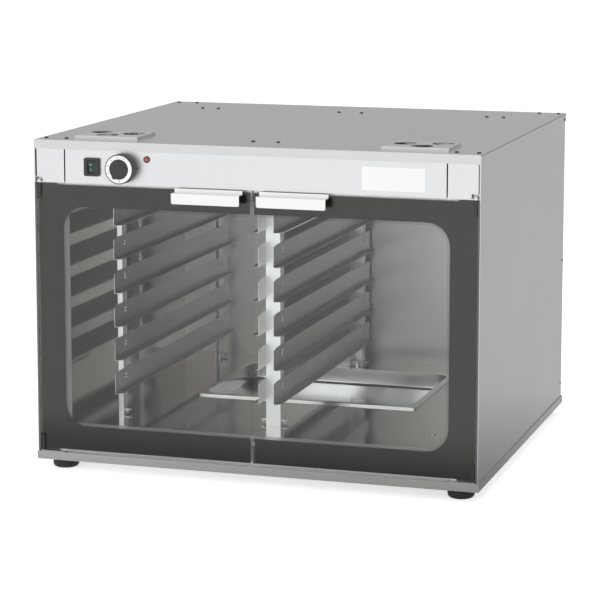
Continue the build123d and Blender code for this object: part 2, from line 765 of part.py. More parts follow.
def wing_nut(x, width, side, y):
    """A wing nut on the end of a foot stud, seated on the post's side."""
    seat = width / 2
    hub = rod("X", WING_NUT_DIAMETER, WING_NUT_LENGTH, seat, 0, 0)
    span = WING_SPAN / 2
    root = WING_NUT_DIAMETER / 3
    wing = Plane.XY * Polygon(
        (seat, -root),
        (seat + WING_NUT_LENGTH, -root),
        (seat + 2 * WING_NUT_LENGTH, -span),
        (seat + WING_NUT_LENGTH, -span),
        align=None,
    )
    blade = extrude(wing, amount=WING_THICK).moved(Location((0, 0, -WING_THICK / 2)))
    nut = hub + blade + mirror(blade, about=Plane.XZ)
    nut -= rod("X", FOOT_STUD_DIAMETER, WING_NUT_LENGTH + 2 * CUT, seat - CUT, 0, 0)
    if side < 0:
        nut = mirror_x(nut)
    return nut.moved(Location((x, y, FOOT_STUD_Z)))


def wing_nuts(x, width, sides):
    return [wing_nut(x, width, side, y) for side in sides for y in POST_ROWS]


def floor_plugs(x):
    """Plugs in the floor where a rack could stand and none is fitted."""
    plugs = []
    for y in POST_ROWS:
        plug = rod("Z", PLUG_DIAMETER, PLUG_HEIGHT, x, y, FLOOR_Z)
        top = plug.edges().filter_by(GeomType.CIRCLE).group_by(Axis.Z)[-1]
        plugs.append(fillet(top, PLUG_HEIGHT / 2))
    return plugs


# Doors, drawn for the right side and mirrored for the left


def door_glass():
    x0 = DOOR_SPLIT / 2
    pane = block(x0, DOOR_EDGE, FRONT, DOOR_BACK, DOOR_BOTTOM, DOOR_TOP)
    pane = fillet(pane.edges().filter_by(Axis.Y), DOOR_CORNER)
    for low in (DOOR_BOTTOM - CUT, DOOR_TOP - SHOE_HEIGHT):
        high = low + SHOE_HEIGHT + CUT
        pane -= block(DOOR_EDGE - SHOE_WIDTH, DOOR_EDGE + CUT, FRONT - CUT, DOOR_BACK + CUT, low, high)
    return pane - handle_holes()


def door_border():
    """The dark enamel on the back of the glass, open at the split side of the window."""
    x0 = DOOR_SPLIT / 2 + BORDER_MARGIN
    x1 = DOOR_EDGE - SHOE_WIDTH
    sheet = block(x0, x1, DOOR_BACK, ENAMEL_BACK, DOOR_BOTTOM + BORDER_MARGIN, DOOR_TOP - BORDER_MARGIN)
    half = MOUTH_X - WINDOW_SIDE_MARGIN
    low = FLOOR_Z + WINDOW_FLOOR_MARGIN
    high = MOUTH_TOP - WINDOW_TOP_MARGIN
    window = block(-half, half, DOOR_BACK - CUT, ENAMEL_BACK + CUT, low, high)
    window = fillet(window.edges().filter_by(Axis.Y), WINDOW_RADIUS)
    return sheet - window - handle_holes()


def handle_holes():
    """The two stud holes through the glass and its enamel."""
    hole = HANDLE_STUD_DIAMETER + 2 * GLASS_HOLE_CLEARANCE
    depth = ENAMEL_BACK - FRONT + 2 * CUT
    first, second = [rod("Y", hole, depth, x, FRONT - CUT, handle_stud_z()) for x in handle_stud_places()]
    return first + second


def door_shoes():
    """The hinge shoes in the outer corners of the glass, each with a bore for its pivot."""
    pieces = []
    bore = PIVOT_DIAMETER + 2 * PIVOT_CLEARANCE
    inner = DOOR_EDGE - SHOE_WIDTH
    outer = DOOR_EDGE - SHOE_PLATE_INSET
    plate_back = ENAMEL_BACK + SHOE_PLATE_THICK
    for z0, bore_z in (
        (DOOR_BOTTOM, DOOR_BOTTOM - CUT),
        (DOOR_TOP - SHOE_HEIGHT, DOOR_TOP - PIVOT_ENGAGEMENT - CUT),
    ):
        z1 = z0 + SHOE_HEIGHT
        knuckle = block(inner, DOOR_EDGE, FRONT, DOOR_BACK, z0, z1)
        neck = block(inner, outer, DOOR_BACK, ENAMEL_BACK, z0, z1)
        plate = block(DOOR_EDGE - SHOE_PLATE_LENGTH, outer, ENAMEL_BACK, plate_back, z0, z1)
        shoe = knuckle + neck + plate
        shoe -= rod("Z", bore, PIVOT_ENGAGEMENT + 2 * CUT, PIVOT_X, PIVOT_Y, bore_z)
        pieces.append(shoe)
    return pieces


def handle_stud_places():
    middle = HANDLE_FROM_SPLIT + DOOR_SPLIT / 2 + HANDLE_LENGTH / 2
    return (middle - HANDLE_STUD_SPACING / 2, middle + HANDLE_STUD_SPACING / 2)


def handle_stud_z():
    return DOOR_TOP - HANDLE_FLANGE / 2


def door_handle():
    """A folded pull: flange on the glass, shelf forward and a front lip with round corners."""
    x0 = HANDLE_FROM_SPLIT + DOOR_SPLIT / 2
    x1 = x0 + HANDLE_LENGTH
    shelf_top = DOOR_TOP - HANDLE_FLANGE + HANDLE_SHEET
    face = FRONT - HANDLE_REACH
    section = [
        (FRONT, DOOR_TOP),
        (FRONT, DOOR_TOP - HANDLE_FLANGE),
        (face + HANDLE_SHEET, DOOR_TOP - HANDLE_FLANGE),
        (face + HANDLE_SHEET, shelf_top - HANDLE_LIP),
        (face, shelf_top - HANDLE_LIP),
        (face, shelf_top),
        (FRONT - HANDLE_SHEET, shelf_top),
        (FRONT - HANDLE_SHEET, DOOR_TOP),
    ]
    pull = side_profile(section, x0, x1)
    low_corners = pull.edges().filter_by(Axis.Y).group_by(Axis.Z)[0]
    pull = fillet(low_corners, HANDLE_CORNER)
    fold = pull.edges().filter_by(Axis.X).sort_by(lambda e: e.center().Y - e.center().Z)[0]
    return fillet([fold], HANDLE_BEND)


def handle_fixings():
    """Studs through the glass and their dome nuts behind it."""
    pieces = []
    for x in handle_stud_places():
        stud = rod("Y", HANDLE_STUD_DIAMETER, ENAMEL_BACK - FRONT, x, FRONT, handle_stud_z())
        nut = rod("Y", HANDLE_NUT_DIAMETER, HANDLE_NUT_HEIGHT, x, ENAMEL_BACK, handle_stud_z())
        rear = nut.edges().filter_by(GeomType.CIRCLE).sort_by(Axis.Y)[-1]
        nut = chamfer([rear], HANDLE_NUT_HEIGHT / 3)
        pieces.append(stud + nut)
    return pieces


def strike_plate():
    x0 = DOOR_SPLIT / 2 + CATCH_FROM_SPLIT
    y1 = ENAMEL_BACK + STRIKE_THICK
    return block(x0, x0 + CATCH_WIDTH, ENAMEL_BACK, y1, CATCH_TOP - CATCH_HEIGHT, CATCH_TOP)


def magnetic_catch():
    x0 = DOOR_SPLIT / 2 + CATCH_FROM_SPLIT
    y0 = ENAMEL_BACK + STRIKE_THICK + CATCH_AIR_GAP
    return block(x0, x0 + CATCH_WIDTH, y0, FRAME_FACE, CATCH_TOP - CATCH_HEIGHT, CATCH_TOP)


def door_pivots():
    """The brackets on the front frame whose pins carry a door, one above and one below."""
    x1 = DOOR_EDGE + PIVOT_TAB_OVERHANG
    x0 = x1 - PIVOT_TAB_LENGTH
    y0 = FRONT + PIVOT_TAB_SETBACK
    notch_x = HEM_INNER - FASCIA_SIDE_GAP - PIVOT_NOTCH_WIDTH + PIVOT_NOTCH_GAP
    top = block(x0, x1, y0, FRAME_FACE, TOP_TAB_Z, FASCIA_Z)
    raised = block(notch_x, x1, y0, FRAME_FACE, FASCIA_Z, TOP_TAB_Z + PIVOT_TAB_THICK)
    pin_length = PIVOT_ENGAGEMENT + PIVOT_TAB_GAP
    pin = rod("Z", PIVOT_DIAMETER, pin_length, PIVOT_X, PIVOT_Y, DOOR_TOP - PIVOT_ENGAGEMENT)
    head_z = TOP_TAB_Z + PIVOT_TAB_THICK
    head = rod("Z", PIVOT_HEAD_DIAMETER, PIVOT_HEAD_HEIGHT, PIVOT_X, PIVOT_Y, head_z)
    upper = top + raised + pin + head
    tab = block(x0, x1, y0, FRAME_FACE, BOTTOM_TAB_Z, BOTTOM_TAB_Z + PIVOT_TAB_THICK)
    leg = block(
        x0, x1, FRAME_FACE - PIVOT_TAB_THICK, FRAME_FACE, BOTTOM_TAB_Z - PIVOT_LEG_HEIGHT, BOTTOM_TAB_Z
    )
    low_pin = rod(
        "Z", PIVOT_DIAMETER, PIVOT_ENGAGEMENT, PIVOT_X, PIVOT_Y, BOTTOM_TAB_Z + PIVOT_TAB_THICK / 2
    )
    return [upper, tab + leg + low_pin]


# Controls


def knob():
    y_back = FASCIA_FACE - KNOB_GAP
    y_face = y_back - KNOB_SKIRT_DEPTH
    y_front = FASCIA_FACE - KNOB_REACH
    skirt = rod("Y", KNOB_SKIRT_DIAMETER, KNOB_SKIRT_DEPTH, KNOB_X, y_face, CONTROL_Z)
    ring = skirt.edges().filter_by(GeomType.CIRCLE).sort_by(Axis.Y)[0]
    skirt = fillet([ring], KNOB_ROUNDING)
    recess = rod("Y", DIAL_OUTER_DIAMETER, DIAL_THICK, KNOB_X, y_face, CONTROL_Z)
    grip = rod("Y", KNOB_GRIP_DIAMETER, y_face - y_front + DIAL_THICK, KNOB_X, y_front, CONTROL_Z)
    reach = KNOB_GRIP_DIAMETER / 2 + KNOB_NOSE_REACH
    nose = block(0, reach, y_front, y_face - DIAL_THICK, -KNOB_NOSE_WIDTH / 2, KNOB_NOSE_WIDTH / 2)
    nose = nose.rotate(Axis.Y, KNOB_REST_ANGLE).moved(Location((KNOB_X, 0, CONTROL_Z)))
    grip = grip + nose
    front_edges = grip.faces().sort_by(Axis.Y)[0].edges()
    grip = fillet(front_edges, KNOB_ROUNDING)
    spindle_hole = rod(
        "Y",
        SPINDLE_DIAMETER + 2 * SPINDLE_CLEARANCE,
        KNOB_REACH,
        KNOB_X,
        FASCIA_FACE - KNOB_REACH / 2,
        CONTROL_Z,
    )
    return skirt - recess + grip - spindle_hole


def knob_dial():
    y_face = FASCIA_FACE - KNOB_GAP - KNOB_SKIRT_DEPTH
    disc = rod("Y", DIAL_OUTER_DIAMETER, DIAL_THICK, KNOB_X, y_face, CONTROL_Z)
    return disc - rod("Y", DIAL_INNER_DIAMETER, 3 * DIAL_THICK, KNOB_X, y_face - DIAL_THICK, CONTROL_Z)


def thermostat_body():
    """The thermostat on a bracket behind the fascia, with its spindle through the knob."""
    y0 = FASCIA_FACE + SKIN
    half = THERMOSTAT_SIZE / 2
    y1 = y0 + THERMOSTAT_DEPTH
    body = block(KNOB_X - half, KNOB_X + half, y0, y1, CONTROL_Z - half, CONTROL_Z + half)
    body = fillet(body.edges().filter_by(Axis.Y), half / 4)
    start = FASCIA_FACE - KNOB_REACH / 2 + SPINDLE_END_GAP
    return body + rod("Y", SPINDLE_DIAMETER, y0 - start, KNOB_X, start, CONTROL_Z)


def switch_body():
    y0 = FASCIA_FACE - SWITCH_REACH
    bezel = block(
        SWITCH_X - SWITCH_WIDTH / 2,
        SWITCH_X + SWITCH_WIDTH / 2,
        y0,
        FASCIA_FACE,
        CONTROL_Z - SWITCH_HEIGHT / 2,
        CONTROL_Z + SWITCH_HEIGHT / 2,
    )
    bezel = fillet(bezel.edges().filter_by(Axis.Y), SWITCH_CORNER)
    bezel = chamfer(bezel.faces().sort_by(Axis.Y)[0].edges(), SWITCH_CORNER / 4)
    body = block(
        SWITCH_X - SWITCH_BODY_WIDTH / 2,
        SWITCH_X + SWITCH_BODY_WIDTH / 2,
        FASCIA_FACE,
        FASCIA_FACE + SWITCH_BODY_DEPTH,
        CONTROL_Z - SWITCH_BODY_HEIGHT / 2,
        CONTROL_Z + SWITCH_BODY_HEIGHT / 2,
    )
    pocket = block(
        SWITCH_X - ROCKER_WIDTH / 2 - ROCKER_CLEARANCE,
        SWITCH_X + ROCKER_WIDTH / 2 + ROCKER_CLEARANCE,
        y0 - CUT,
        y0 + rocker_pocket_depth(),
        CONTROL_Z - ROCKER_HEIGHT / 2 - ROCKER_CLEARANCE,
        CONTROL_Z + ROCKER_HEIGHT / 2 + ROCKER_CLEARANCE,
    )
    return bezel + body - pocket


def rocker_pocket_depth():
    swing = ROCKER_HEIGHT / 2 * math.sin(math.radians(ROCKER_TILT))
    return ROCKER_THICK + 2 * swing + ROCKER_CLEARANCE


def rocker():
    """The switch rocker, pressed at its lower end at rest."""
    y0 = FASCIA_FACE - SWITCH_REACH
    half_x = ROCKER_WIDTH / 2
    half_z = ROCKER_HEIGHT / 2
    crown = ROCKER_THICK / 4
    section = [(0, -half_z), (ROCKER_THICK, -half_z), (ROCKER_THICK, half_z), (0, half_z), (crown, 0)]
    bar = side_profile(section, -half_x, half_x).moved(Location((0, -ROCKER_THICK / 2, 0)))
    bar = bar.rotate(Axis.X, ROCKER_TILT)
    return bar.moved(Location((SWITCH_X, y0 + rocker_pocket_depth() / 2 - ROCKER_CLEARANCE, CONTROL_Z)))


def pilot_lamp():
    y0 = FASCIA_FACE - LAMP_REACH
    bezel = rod("Y", LAMP_BEZEL_DIAMETER, LAMP_REACH, LAMP_X, y0, LAMP_Z)
    front = bezel.edges().filter_by(GeomType.CIRCLE).sort_by(Axis.Y)[0]
    bezel = chamfer([front], LAMP_REACH / 3)
    bezel -= rod("Y", LAMP_LENS_DIAMETER, LAMP_LENS_THICK + CUT, LAMP_X, y0 - CUT, LAMP_Z)
    return bezel + rod("Y", LAMP_BODY_DIAMETER, LAMP_DEPTH, LAMP_X, FASCIA_FACE, LAMP_Z)


def lamp_lens():
    y0 = FASCIA_FACE - LAMP_REACH
    lens = rod("Y", LAMP_LENS_DIAMETER, LAMP_LENS_THICK, LAMP_X, y0, LAMP_Z)
    front = lens.edges().filter_by(GeomType.CIRCLE).sort_by(Axis.Y)[0]
    return fillet([front], LAMP_REACH / 4)


def thermostat_bulb():
    """The sensing bulb on two clips on the left wall of the cavity."""
    x = -WALL_X + BULB_WALL_GAP
    z = CEILING_Z - BULB_DROP
    bulb = rod("Y", BULB_DIAMETER, BULB_LENGTH, x, FRONT + BULB_Y, z)
    half = CLIP_HEIGHT / 2
    for y in (FRONT + BULB_Y + CLIP_END_GAP, FRONT + BULB_Y + BULB_LENGTH - CLIP_END_GAP):
        bulb += block(-WALL_X, x, y - CLIP_LENGTH / 2, y + CLIP_LENGTH / 2, z - half, z + half)
    return bulb


def terminal_block():
    x0 = HALF_WIDTH - TERMINAL_INSET - TERMINAL_WIDTH
    z0 = WOOL_TOP + TERMINAL_RISE
    return block(
        x0, x0 + TERMINAL_WIDTH, REAR_INNER - TERMINAL_DEPTH, REAR_INNER, z0, z0 + TERMINAL_HEIGHT
    )


def cable_gland():
    """The empty cable gland low on the back."""
    nut = rod("Y", GLAND_DIAMETER, GLAND_NUT_DEPTH, GLAND_X, REAR_FACE, GLAND_Z)
    collar = rod("Y", GLAND_COLLAR_DIAMETER, GLAND_REACH, GLAND_X, REAR_FACE, GLAND_Z)
    neck = rod("Y", GLAND_NECK_DIAMETER, SKIN, GLAND_X, REAR_INNER, GLAND_Z)
    bore = rod("Y", GLAND_BORE, GLAND_REACH, GLAND_X, REAR_FACE + SKIN, GLAND_Z)
    return nut + collar + neck - bore


def main():
    os.makedirs("parts", exist_ok=True)
    save(base_tray(), "base_tray")
    save(feet(), "feet")
    right_side = side_panel()
    save(right_side, "right_side_panel")
    save(mirror_x(right_side), "left_side_panel")
    save(rear_panel(), "rear_panel")
    save(top_cover(), "top_cover")
    save(cover_screws(), "cover_screws")
    save(locator_plate(-1), "left_locator_plate")
    save(locator_plate(1), "right_locator_plate")
    save(centre_fascia(), "centre_fascia")
    right_fascia = corner_fascia()
    save(right_fascia, "right_fascia")
    save(mirror_x(right_fascia), "left_fascia")
    save(front_frame(), "front_frame")
    save(door_gasket(), "door_gasket")
    save(cavity_floor(), "cavity_floor")
    save(cavity_ceiling(), "cavity_ceiling")
    right_wall = cavity_side_wall()
    save(right_wall, "right_cavity_wall")
    save(mirror_x(right_wall), "left_cavity_wall")
    save(cavity_rear_wall(), "rear_cavity_wall")
    right_wool = side_wool()
    save([right_wool, mirror_x(right_wool)], "side_insulation")
    save(rear_wool(), "rear_insulation")
    save(ceiling_wool(), "top_insulation")
    save(base_wool(), "base_insulation")
    save(pan_well(), "pan_well")
    save(water_pan(), "water_pan")
    save(heating_element(), "heating_element")
    save(element_saddles(), "element_saddles")

    left_rack = (SIDE_POST_X, SIDE_POST_WIDTH)
    centre_rack = (0, CENTRE_POST_WIDTH)
    save(posts(*left_rack), "left_rack_posts")
    save(posts(*centre_rack), "centre_rack_posts")
    save(guides(SIDE_POST_X + SIDE_POST_WIDTH / 2, 1), "left_rack_guides")
    save(guides(-CENTRE_POST_WIDTH / 2, -1), "centre_rack_left_guides")
    save(guides(CENTRE_POST_WIDTH / 2, 1), "centre_rack_right_guides")
    save(foot_studs(*left_rack, (1,)) + foot_studs(*centre_rack, (-1, 1)), "rack_foot_studs")
    save(wing_nuts(*left_rack, (1,)) + wing_nuts(*centre_rack, (-1, 1)), "rack_wing_nuts")
    save(floor_plugs(-SIDE_POST_X), "floor_plugs")

    glass = door_glass()
    border = door_border()
    handle = door_handle()
    fixings = handle_fixings()
    shoes = door_shoes()
    strike = strike_plate()
    pivots = door_pivots()
    catch = magnetic_catch()
    for name, turn in (("right", lambda piece: piece), ("left", mirror_x)):
        save(turn(glass), f"{name}_door_glass")
        save(turn(border), f"{name}_door_border")
        save(turn(handle), f"{name}_door_handle")
        save([turn(piece) for piece in fixings], f"{name}_door_handle_fixings")
        save([turn(piece) for piece in shoes], f"{name}_door_shoes")
        save(turn(strike), f"{name}_door_strike")
        save([turn(piece) for piece in pivots], f"{name}_door_pivots")
    save([catch, mirror_x(catch)], "magnetic_catches")

    save(knob(), "knob")
    save(knob_dial(), "knob_dial")
    save(thermostat_body(), "thermostat_body")
    save(thermostat_bulb(), "thermostat_bulb")
    save(switch_body(), "switch_body")
    save(rocker(), "rocker")
    save(pilot_lamp(), "pilot_lamp")
    save(lamp_lens(), "lamp_lens")
    save(terminal_block(), "terminal_block")
    save(cable_gland(), "cable_gland")


main()
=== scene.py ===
"""Looks of a dough proofer: steel casing, glass doors, tray racks, sunk water pan and fascia controls.

Every length is in metres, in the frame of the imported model: +Z up, the doors face -Y.
"""

import logging
import math
from dataclasses import dataclass, field
from enum import Enum

import bmesh
import bpy
from mathutils import Matrix, Vector


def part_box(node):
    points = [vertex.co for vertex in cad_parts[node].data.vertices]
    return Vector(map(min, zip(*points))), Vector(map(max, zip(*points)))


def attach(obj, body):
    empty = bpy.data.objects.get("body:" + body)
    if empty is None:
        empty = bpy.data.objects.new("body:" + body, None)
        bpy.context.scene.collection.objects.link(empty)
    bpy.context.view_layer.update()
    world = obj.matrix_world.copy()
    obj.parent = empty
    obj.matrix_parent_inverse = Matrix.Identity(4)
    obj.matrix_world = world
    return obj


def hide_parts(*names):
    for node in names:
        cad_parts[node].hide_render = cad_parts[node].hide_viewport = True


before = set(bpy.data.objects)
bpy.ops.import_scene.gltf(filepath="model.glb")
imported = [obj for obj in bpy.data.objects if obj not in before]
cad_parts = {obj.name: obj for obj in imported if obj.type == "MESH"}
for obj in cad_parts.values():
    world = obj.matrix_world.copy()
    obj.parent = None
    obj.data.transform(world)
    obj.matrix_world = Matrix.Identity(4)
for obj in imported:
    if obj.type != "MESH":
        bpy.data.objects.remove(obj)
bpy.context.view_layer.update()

LOG = logging.getLogger("dough_proofer")
Colour = tuple[float, float, float]
Point = tuple[float, float, float]
Profile = list[tuple[float, float]]
Material = bpy.types.Material
Socket = bpy.types.NodeSocket
MM = 0.001


class Axis(Enum):
    """A direction of the frame, as the index of its coordinate."""

    X = 0
    Y = 1
    Z = 2


class Body(Enum):
    """The bodies of the cabinet that move apart from each other."""

    CABINET = "cabinet"
    LEFT_DOOR = "left_door"
    RIGHT_DOOR = "right_door"
    KNOB = "thermostat_knob"
    ROCKER = "power_rocker"


# Node trees


class Tree:
    """A small writer of node trees for one material or world."""

    def __init__(self, name: str, world: bool = False) -> None:
        """Starts an empty material or world.

        Args:
            name: its name.
            world: whether it is a world.
        """
        self.material = (bpy.data.worlds if world else bpy.data.materials).new(name)
        self.material.use_nodes = True
        self.nodes = self.material.node_tree.nodes
        self.links = self.material.node_tree.links
        self.nodes.clear()
        self.output = self.nodes.new("ShaderNodeOutputWorld" if world else "ShaderNodeOutputMaterial")

    def add(self, kind: str, **values: object) -> bpy.types.Node:
        """Adds a node and sets its properties.

        Args:
            kind: the node's type.
            **values: properties of the node by name.

        Returns:
            The new node.
        """
        node = self.nodes.new(kind)
        for name, value in values.items():
            setattr(node, name, value)
        return node

    def feed(self, socket: Socket, value: object) -> None:
        """Links a socket to another node's output, or sets it to a constant.

        Args:
            socket: the input to feed.
            value: an output socket, a number or a colour.
        """
        if isinstance(value, Socket):
            self.links.new(value, socket)
        else:
            socket.default_value = value

    def place(self, scale: Point) -> Socket:
        """Coordinates fixed to the piece, stretched by a scale on each axis.

        Args:
            scale: repeats for each metre along X, Y and Z.

        Returns:
            A vector output.
        """
        coords = self.add("ShaderNodeTexCoord")
        mapping = self.add("ShaderNodeMapping")
        mapping.inputs["Scale"].default_value = scale
        self.links.new(coords.outputs["Object"], mapping.inputs["Vector"])
        return mapping.outputs["Vector"]

    def noise(self, scale: Point, detail: float = 3.0, rough: float = 0.5) -> Socket:
        """Cloudy noise from 0 to 1.

        Args:
            scale: repeats for each metre along X, Y and Z.
            detail: how many octaves it has.
            rough: how strong the finer octaves are.

        Returns:
            The noise factor.
        """
        node = self.add("ShaderNodeTexNoise")
        node.inputs["Scale"].default_value = 1.0
        node.inputs["Detail"].default_value = detail
        node.inputs["Roughness"].default_value = rough
        self.links.new(self.place(scale), node.inputs["Vector"])
        return node.outputs["Fac"]

    def maths(self, operation: str, first: object, second: object = 0.0) -> Socket:
        """One arithmetic step.

        Args:
            operation: the name of the operation.
            first: the first number or output.
            second: the second number or output.

        Returns:
            The result.
        """
        node = self.add("ShaderNodeMath", operation=operation)
        self.feed(node.inputs[0], first)
        self.feed(node.inputs[1], second)
        return node.outputs[0]

    def spread(self, factor: object, low: float, high: float) -> Socket:
        """Maps a factor from 0..1 to low..high.

        Args:
            factor: the factor to map.
            low: the result at 0.
            high: the result at 1.

        Returns:
            The mapped value.
        """
        return self.ramp(factor, (0.0, 1.0), (low, high))

    def ramp(self, value: object, start: tuple[float, float], end: tuple[object, object]) -> Socket:
        """Maps a value from one range to another and clamps it there.

        Args:
            value: the value to map.
            start: the range that it comes from.
            end: the range that it goes to, as numbers or outputs.

        Returns:
            The mapped value.
        """
        node = self.add("ShaderNodeMapRange")
        sockets = ("Value", "From Min", "From Max", "To Min", "To Max")
        for socket, source in zip(sockets, (value, *start, *end)):
            self.feed(node.inputs[socket], source)
        return node.outputs["Result"]

    def blend(self, factor: object, first: object, second: object) -> Socket:
        """Mixes two colours.

        Args:
            factor: 0 shows the first colour and 1 the second.
            first: a colour or an output.
            second: a colour or an output.

        Returns:
            The mixed colour.
        """
        node = self.add("ShaderNodeMix", data_type="RGBA")
        self.feed(node.inputs["Factor"], factor)
        for socket, value in ((node.inputs[6], first), (node.inputs[7], second)):
            self.feed(socket, (*value, 1.0) if isinstance(value, tuple) else value)
        return node.outputs[2]

    def bump(self, height: object, strength: float, depth: float) -> Socket:
        """A bumped normal.

        Args:
            height: the height factor.
            strength: how much of it shows.
            depth: the depth of a full step, in metres.

        Returns:
            The normal.
        """
        node = self.add("ShaderNodeBump")
        node.inputs["Strength"].default_value = strength
        node.inputs["Distance"].default_value = depth
        self.feed(node.inputs["Height"], height)
        return node.outputs["Normal"]

    def principled(self, **values: object) -> Material:
        """Ends the tree in one Principled shader.

        Args:
            **values: inputs by name, with _ for a space.

        Returns:
            The finished material.
        """
        shader = self.add("ShaderNodeBsdfPrincipled")
        for name, value in values.items():
            socket = shader.inputs[name.replace("_", " ")]
            self.feed(socket, (*value, 1.0) if isinstance(value, tuple) and len(value) == 3 else value)
        self.links.new(shader.outputs[0], self.output.inputs["Surface"])
        return self.material


# Finishes


@dataclass(frozen=True)
class BrushedSteel:
    """Stainless sheet with a brushed grain along one axis."""

    name: str
    colour: Colour = (0.46, 0.462, 0.46)
    grain: Axis = Axis.X
    roughness: float = 0.36
    streaks: float = 0.09
    smudges: float = 0.07
    relief: float = 0.02
    metallic: float = 1.0
    fine_repeats: tuple[float, float] = (520.0, 4.0)
    broad_repeats: tuple[float, float] = (46.0, 0.8)
    cloud_repeats: float = 3.1
    grain_spread: float = 0.15
    haze: float = 0.55
    relief_depth: float = 0.05 * MM

    def material(self) -> Material:
        """The steel's material: fine lines, broad streaks and faint handling marks."""
        tree = Tree(self.name)
        scales = []
        for across, along in (self.fine_repeats, self.broad_repeats):
            scale = [across] * 3
            scale[self.grain.value] = along
            scales.append(tuple(scale))
        fine = tree.noise(scales[0], 2.0)
        broad = tree.noise(scales[1], 4.0)
        cloud = tree.noise((self.cloud_repeats,) * 3, 3.0)
        lines = tree.blend(tree.spread(fine, 0.2, 0.8), broad, fine)
        low = tuple(c * (1 - self.streaks) for c in self.colour)
        high = tuple(min(1.0, c * (1 + self.streaks)) for c in self.colour)
        brushed = tree.blend(lines, low, high)
        hazy = tuple(c * (1 - self.smudges) for c in self.colour)
        colour = tree.blend(tree.spread(cloud, 0.0, self.haze), brushed, hazy)
        rough = tree.maths(
            "ADD",
            tree.spread(
                lines, (1 - self.grain_spread) * self.roughness, (1 + self.grain_spread) * self.roughness
            ),
            tree.spread(cloud, -0.1 * self.roughness, 0.1 * self.roughness),
        )
        return tree.principled(
            Base_Color=colour,
            Metallic=self.metallic,
            Roughness=rough,
            Normal=tree.bump(broad, self.relief, self.relief_depth),
        )


@dataclass(frozen=True)
class Moulded:
    """Plastic or rubber with a fine moulded texture and a little dust in it."""

    name: str
    colour: Colour
    roughness: float = 0.45
    texture: float = 900.0
    depth: float = 0.04
    dust: float = 0.25
    sheen: float = 0.0

    def material(self) -> Material:
        """The moulded material."""
        tree = Tree(self.name)
        grain = tree.noise((self.texture,) * 3, 2.0)
        cloud = tree.noise((28.0,) * 3, 3.0)
        worn = tuple(min(1.0, c * 1.35 + 0.006) for c in self.colour)
        colour = tree.blend(tree.spread(cloud, 0.0, self.dust), self.colour, worn)
        return tree.principled(
            Base_Color=colour,
            Roughness=tree.spread(grain, self.roughness - 0.05, self.roughness + 0.07),
            Normal=tree.bump(grain, 0.35, self.depth * MM),
            Sheen_Weight=self.sheen,
        )


@dataclass(frozen=True)
class Enamel:
    """Fired enamel on the back of the door glass, paler where it is thin."""

    name: str
    colour: Colour = (0.0115, 0.0125, 0.0085)
    roughness: float = 0.3

    def material(self) -> Material:
        """The enamel's material."""
        tree = Tree(self.name)
        cloud = tree.noise((5.0,) * 3, 2.0)
        paler = tuple(c * 1.25 for c in self.colour)
        return tree.principled(
            Base_Color=tree.blend(cloud, self.colour, paler),
            Roughness=tree.spread(cloud, self.roughness, self.roughness + 0.06),
            Specular_IOR_Level=0.25,
        )


@dataclass(frozen=True)
class PaneGlass:
    """Clear float glass: it lets light straight through and mirrors a little, more at a glance."""

    name: str
    tint: Colour = (0.96, 0.97, 0.965)
    reflectance: float = 0.026

    def material(self) -> Material:
        """The glass's material."""
        tree = Tree(self.name)
        smear = tree.noise((7.0, 7.0, 2.2), 4.0)
        tint = tree.blend(tree.spread(smear, 0.0, 0.5), self.tint, tuple(0.97 * c for c in self.tint))
        facing = tree.add("ShaderNodeLayerWeight")
        facing.inputs["Blend"].default_value = 0.5
        glance = tree.maths("POWER", facing.outputs["Facing"], 5.0)
        mirror = tree.maths("ADD", tree.maths("MULTIPLY", glance, 0.9), self.reflectance)
        clear = tree.add("ShaderNodeBsdfTransparent")
        tree.feed(clear.inputs["Color"], tint)
        gloss = tree.add("ShaderNodeBsdfGlossy")
        tree.feed(gloss.inputs["Roughness"], tree.spread(smear, 0.015, 0.05))
        mixed = tree.add("ShaderNodeMixShader")
        tree.feed(mixed.inputs[0], mirror)
        tree.links.new(clear.outputs[0], mixed.inputs[1])
        tree.links.new(gloss.outputs[0], mixed.inputs[2])
        tree.links.new(mixed.outputs[0], tree.output.inputs["Surface"])
        return tree.material


@dataclass(frozen=True)
class Wool:
    """Pressed mineral wool."""

    name: str
    colour: Colour = (0.42, 0.36, 0.2)

    def material(self) -> Material:
        """The wool's material, with fibres that run across each other."""
        tree = Tree(self.name)
        first = tree.noise((40.0, 420.0, 420.0), 4.0)
        second = tree.noise((420.0, 40.0, 420.0), 4.0)
        fibres = tree.maths("MULTIPLY", first, second)
        pale = tuple(min(1.0, 1.5 * c) for c in self.colour)
        return tree.principled(
            Base_Color=tree.blend(fibres, self.colour, pale),
            Roughness=0.95,
            Normal=tree.bump(fibres, 0.8, 1.0 * MM),
            Sheen_Weight=0.2,
        )


@dataclass(frozen=True)
class Lens:
    """A moulded lamp lens with a cut pattern inside."""

    name: str
    colour: Colour

    def material(self) -> Material:
        """The lens's material."""
        tree = Tree(self.name)
        cells = tree.add("ShaderNodeTexVoronoi")
        cells.inputs["Scale"].default_value = 1.0
        tree.links.new(tree.place((520.0,) * 3), cells.inputs["Vector"])
        bright = tuple(min(1.0, 1.8 * c) for c in self.colour)
        return tree.principled(
            Base_Color=tree.blend(cells.outputs["Distance"], bright, self.colour),
            Roughness=0.14,
            Coat_Weight=0.6,
            Normal=tree.bump(cells.outputs["Distance"], 0.4, 0.3 * MM),
        )


@dataclass(frozen=True)
class Ink:
    """A printed or pad-filled mark with slightly uneven cover."""

    name: str
    colour: Colour
    roughness: float = 0.5

    def material(self) -> Material:
        """The ink's material."""
        tree = Tree(self.name)
        cover = tree.noise((1500.0,) * 3, 2.0)
        thin = tuple(0.75 * c + 0.04 for c in self.colour)
        return tree.principled(
            Base_Color=tree.blend(tree.spread(cover, 0.0, 0.5), self.colour, thin),
            Roughness=self.roughness,
            Normal=tree.bump(cover, 0.1, 0.02 * MM),
        )


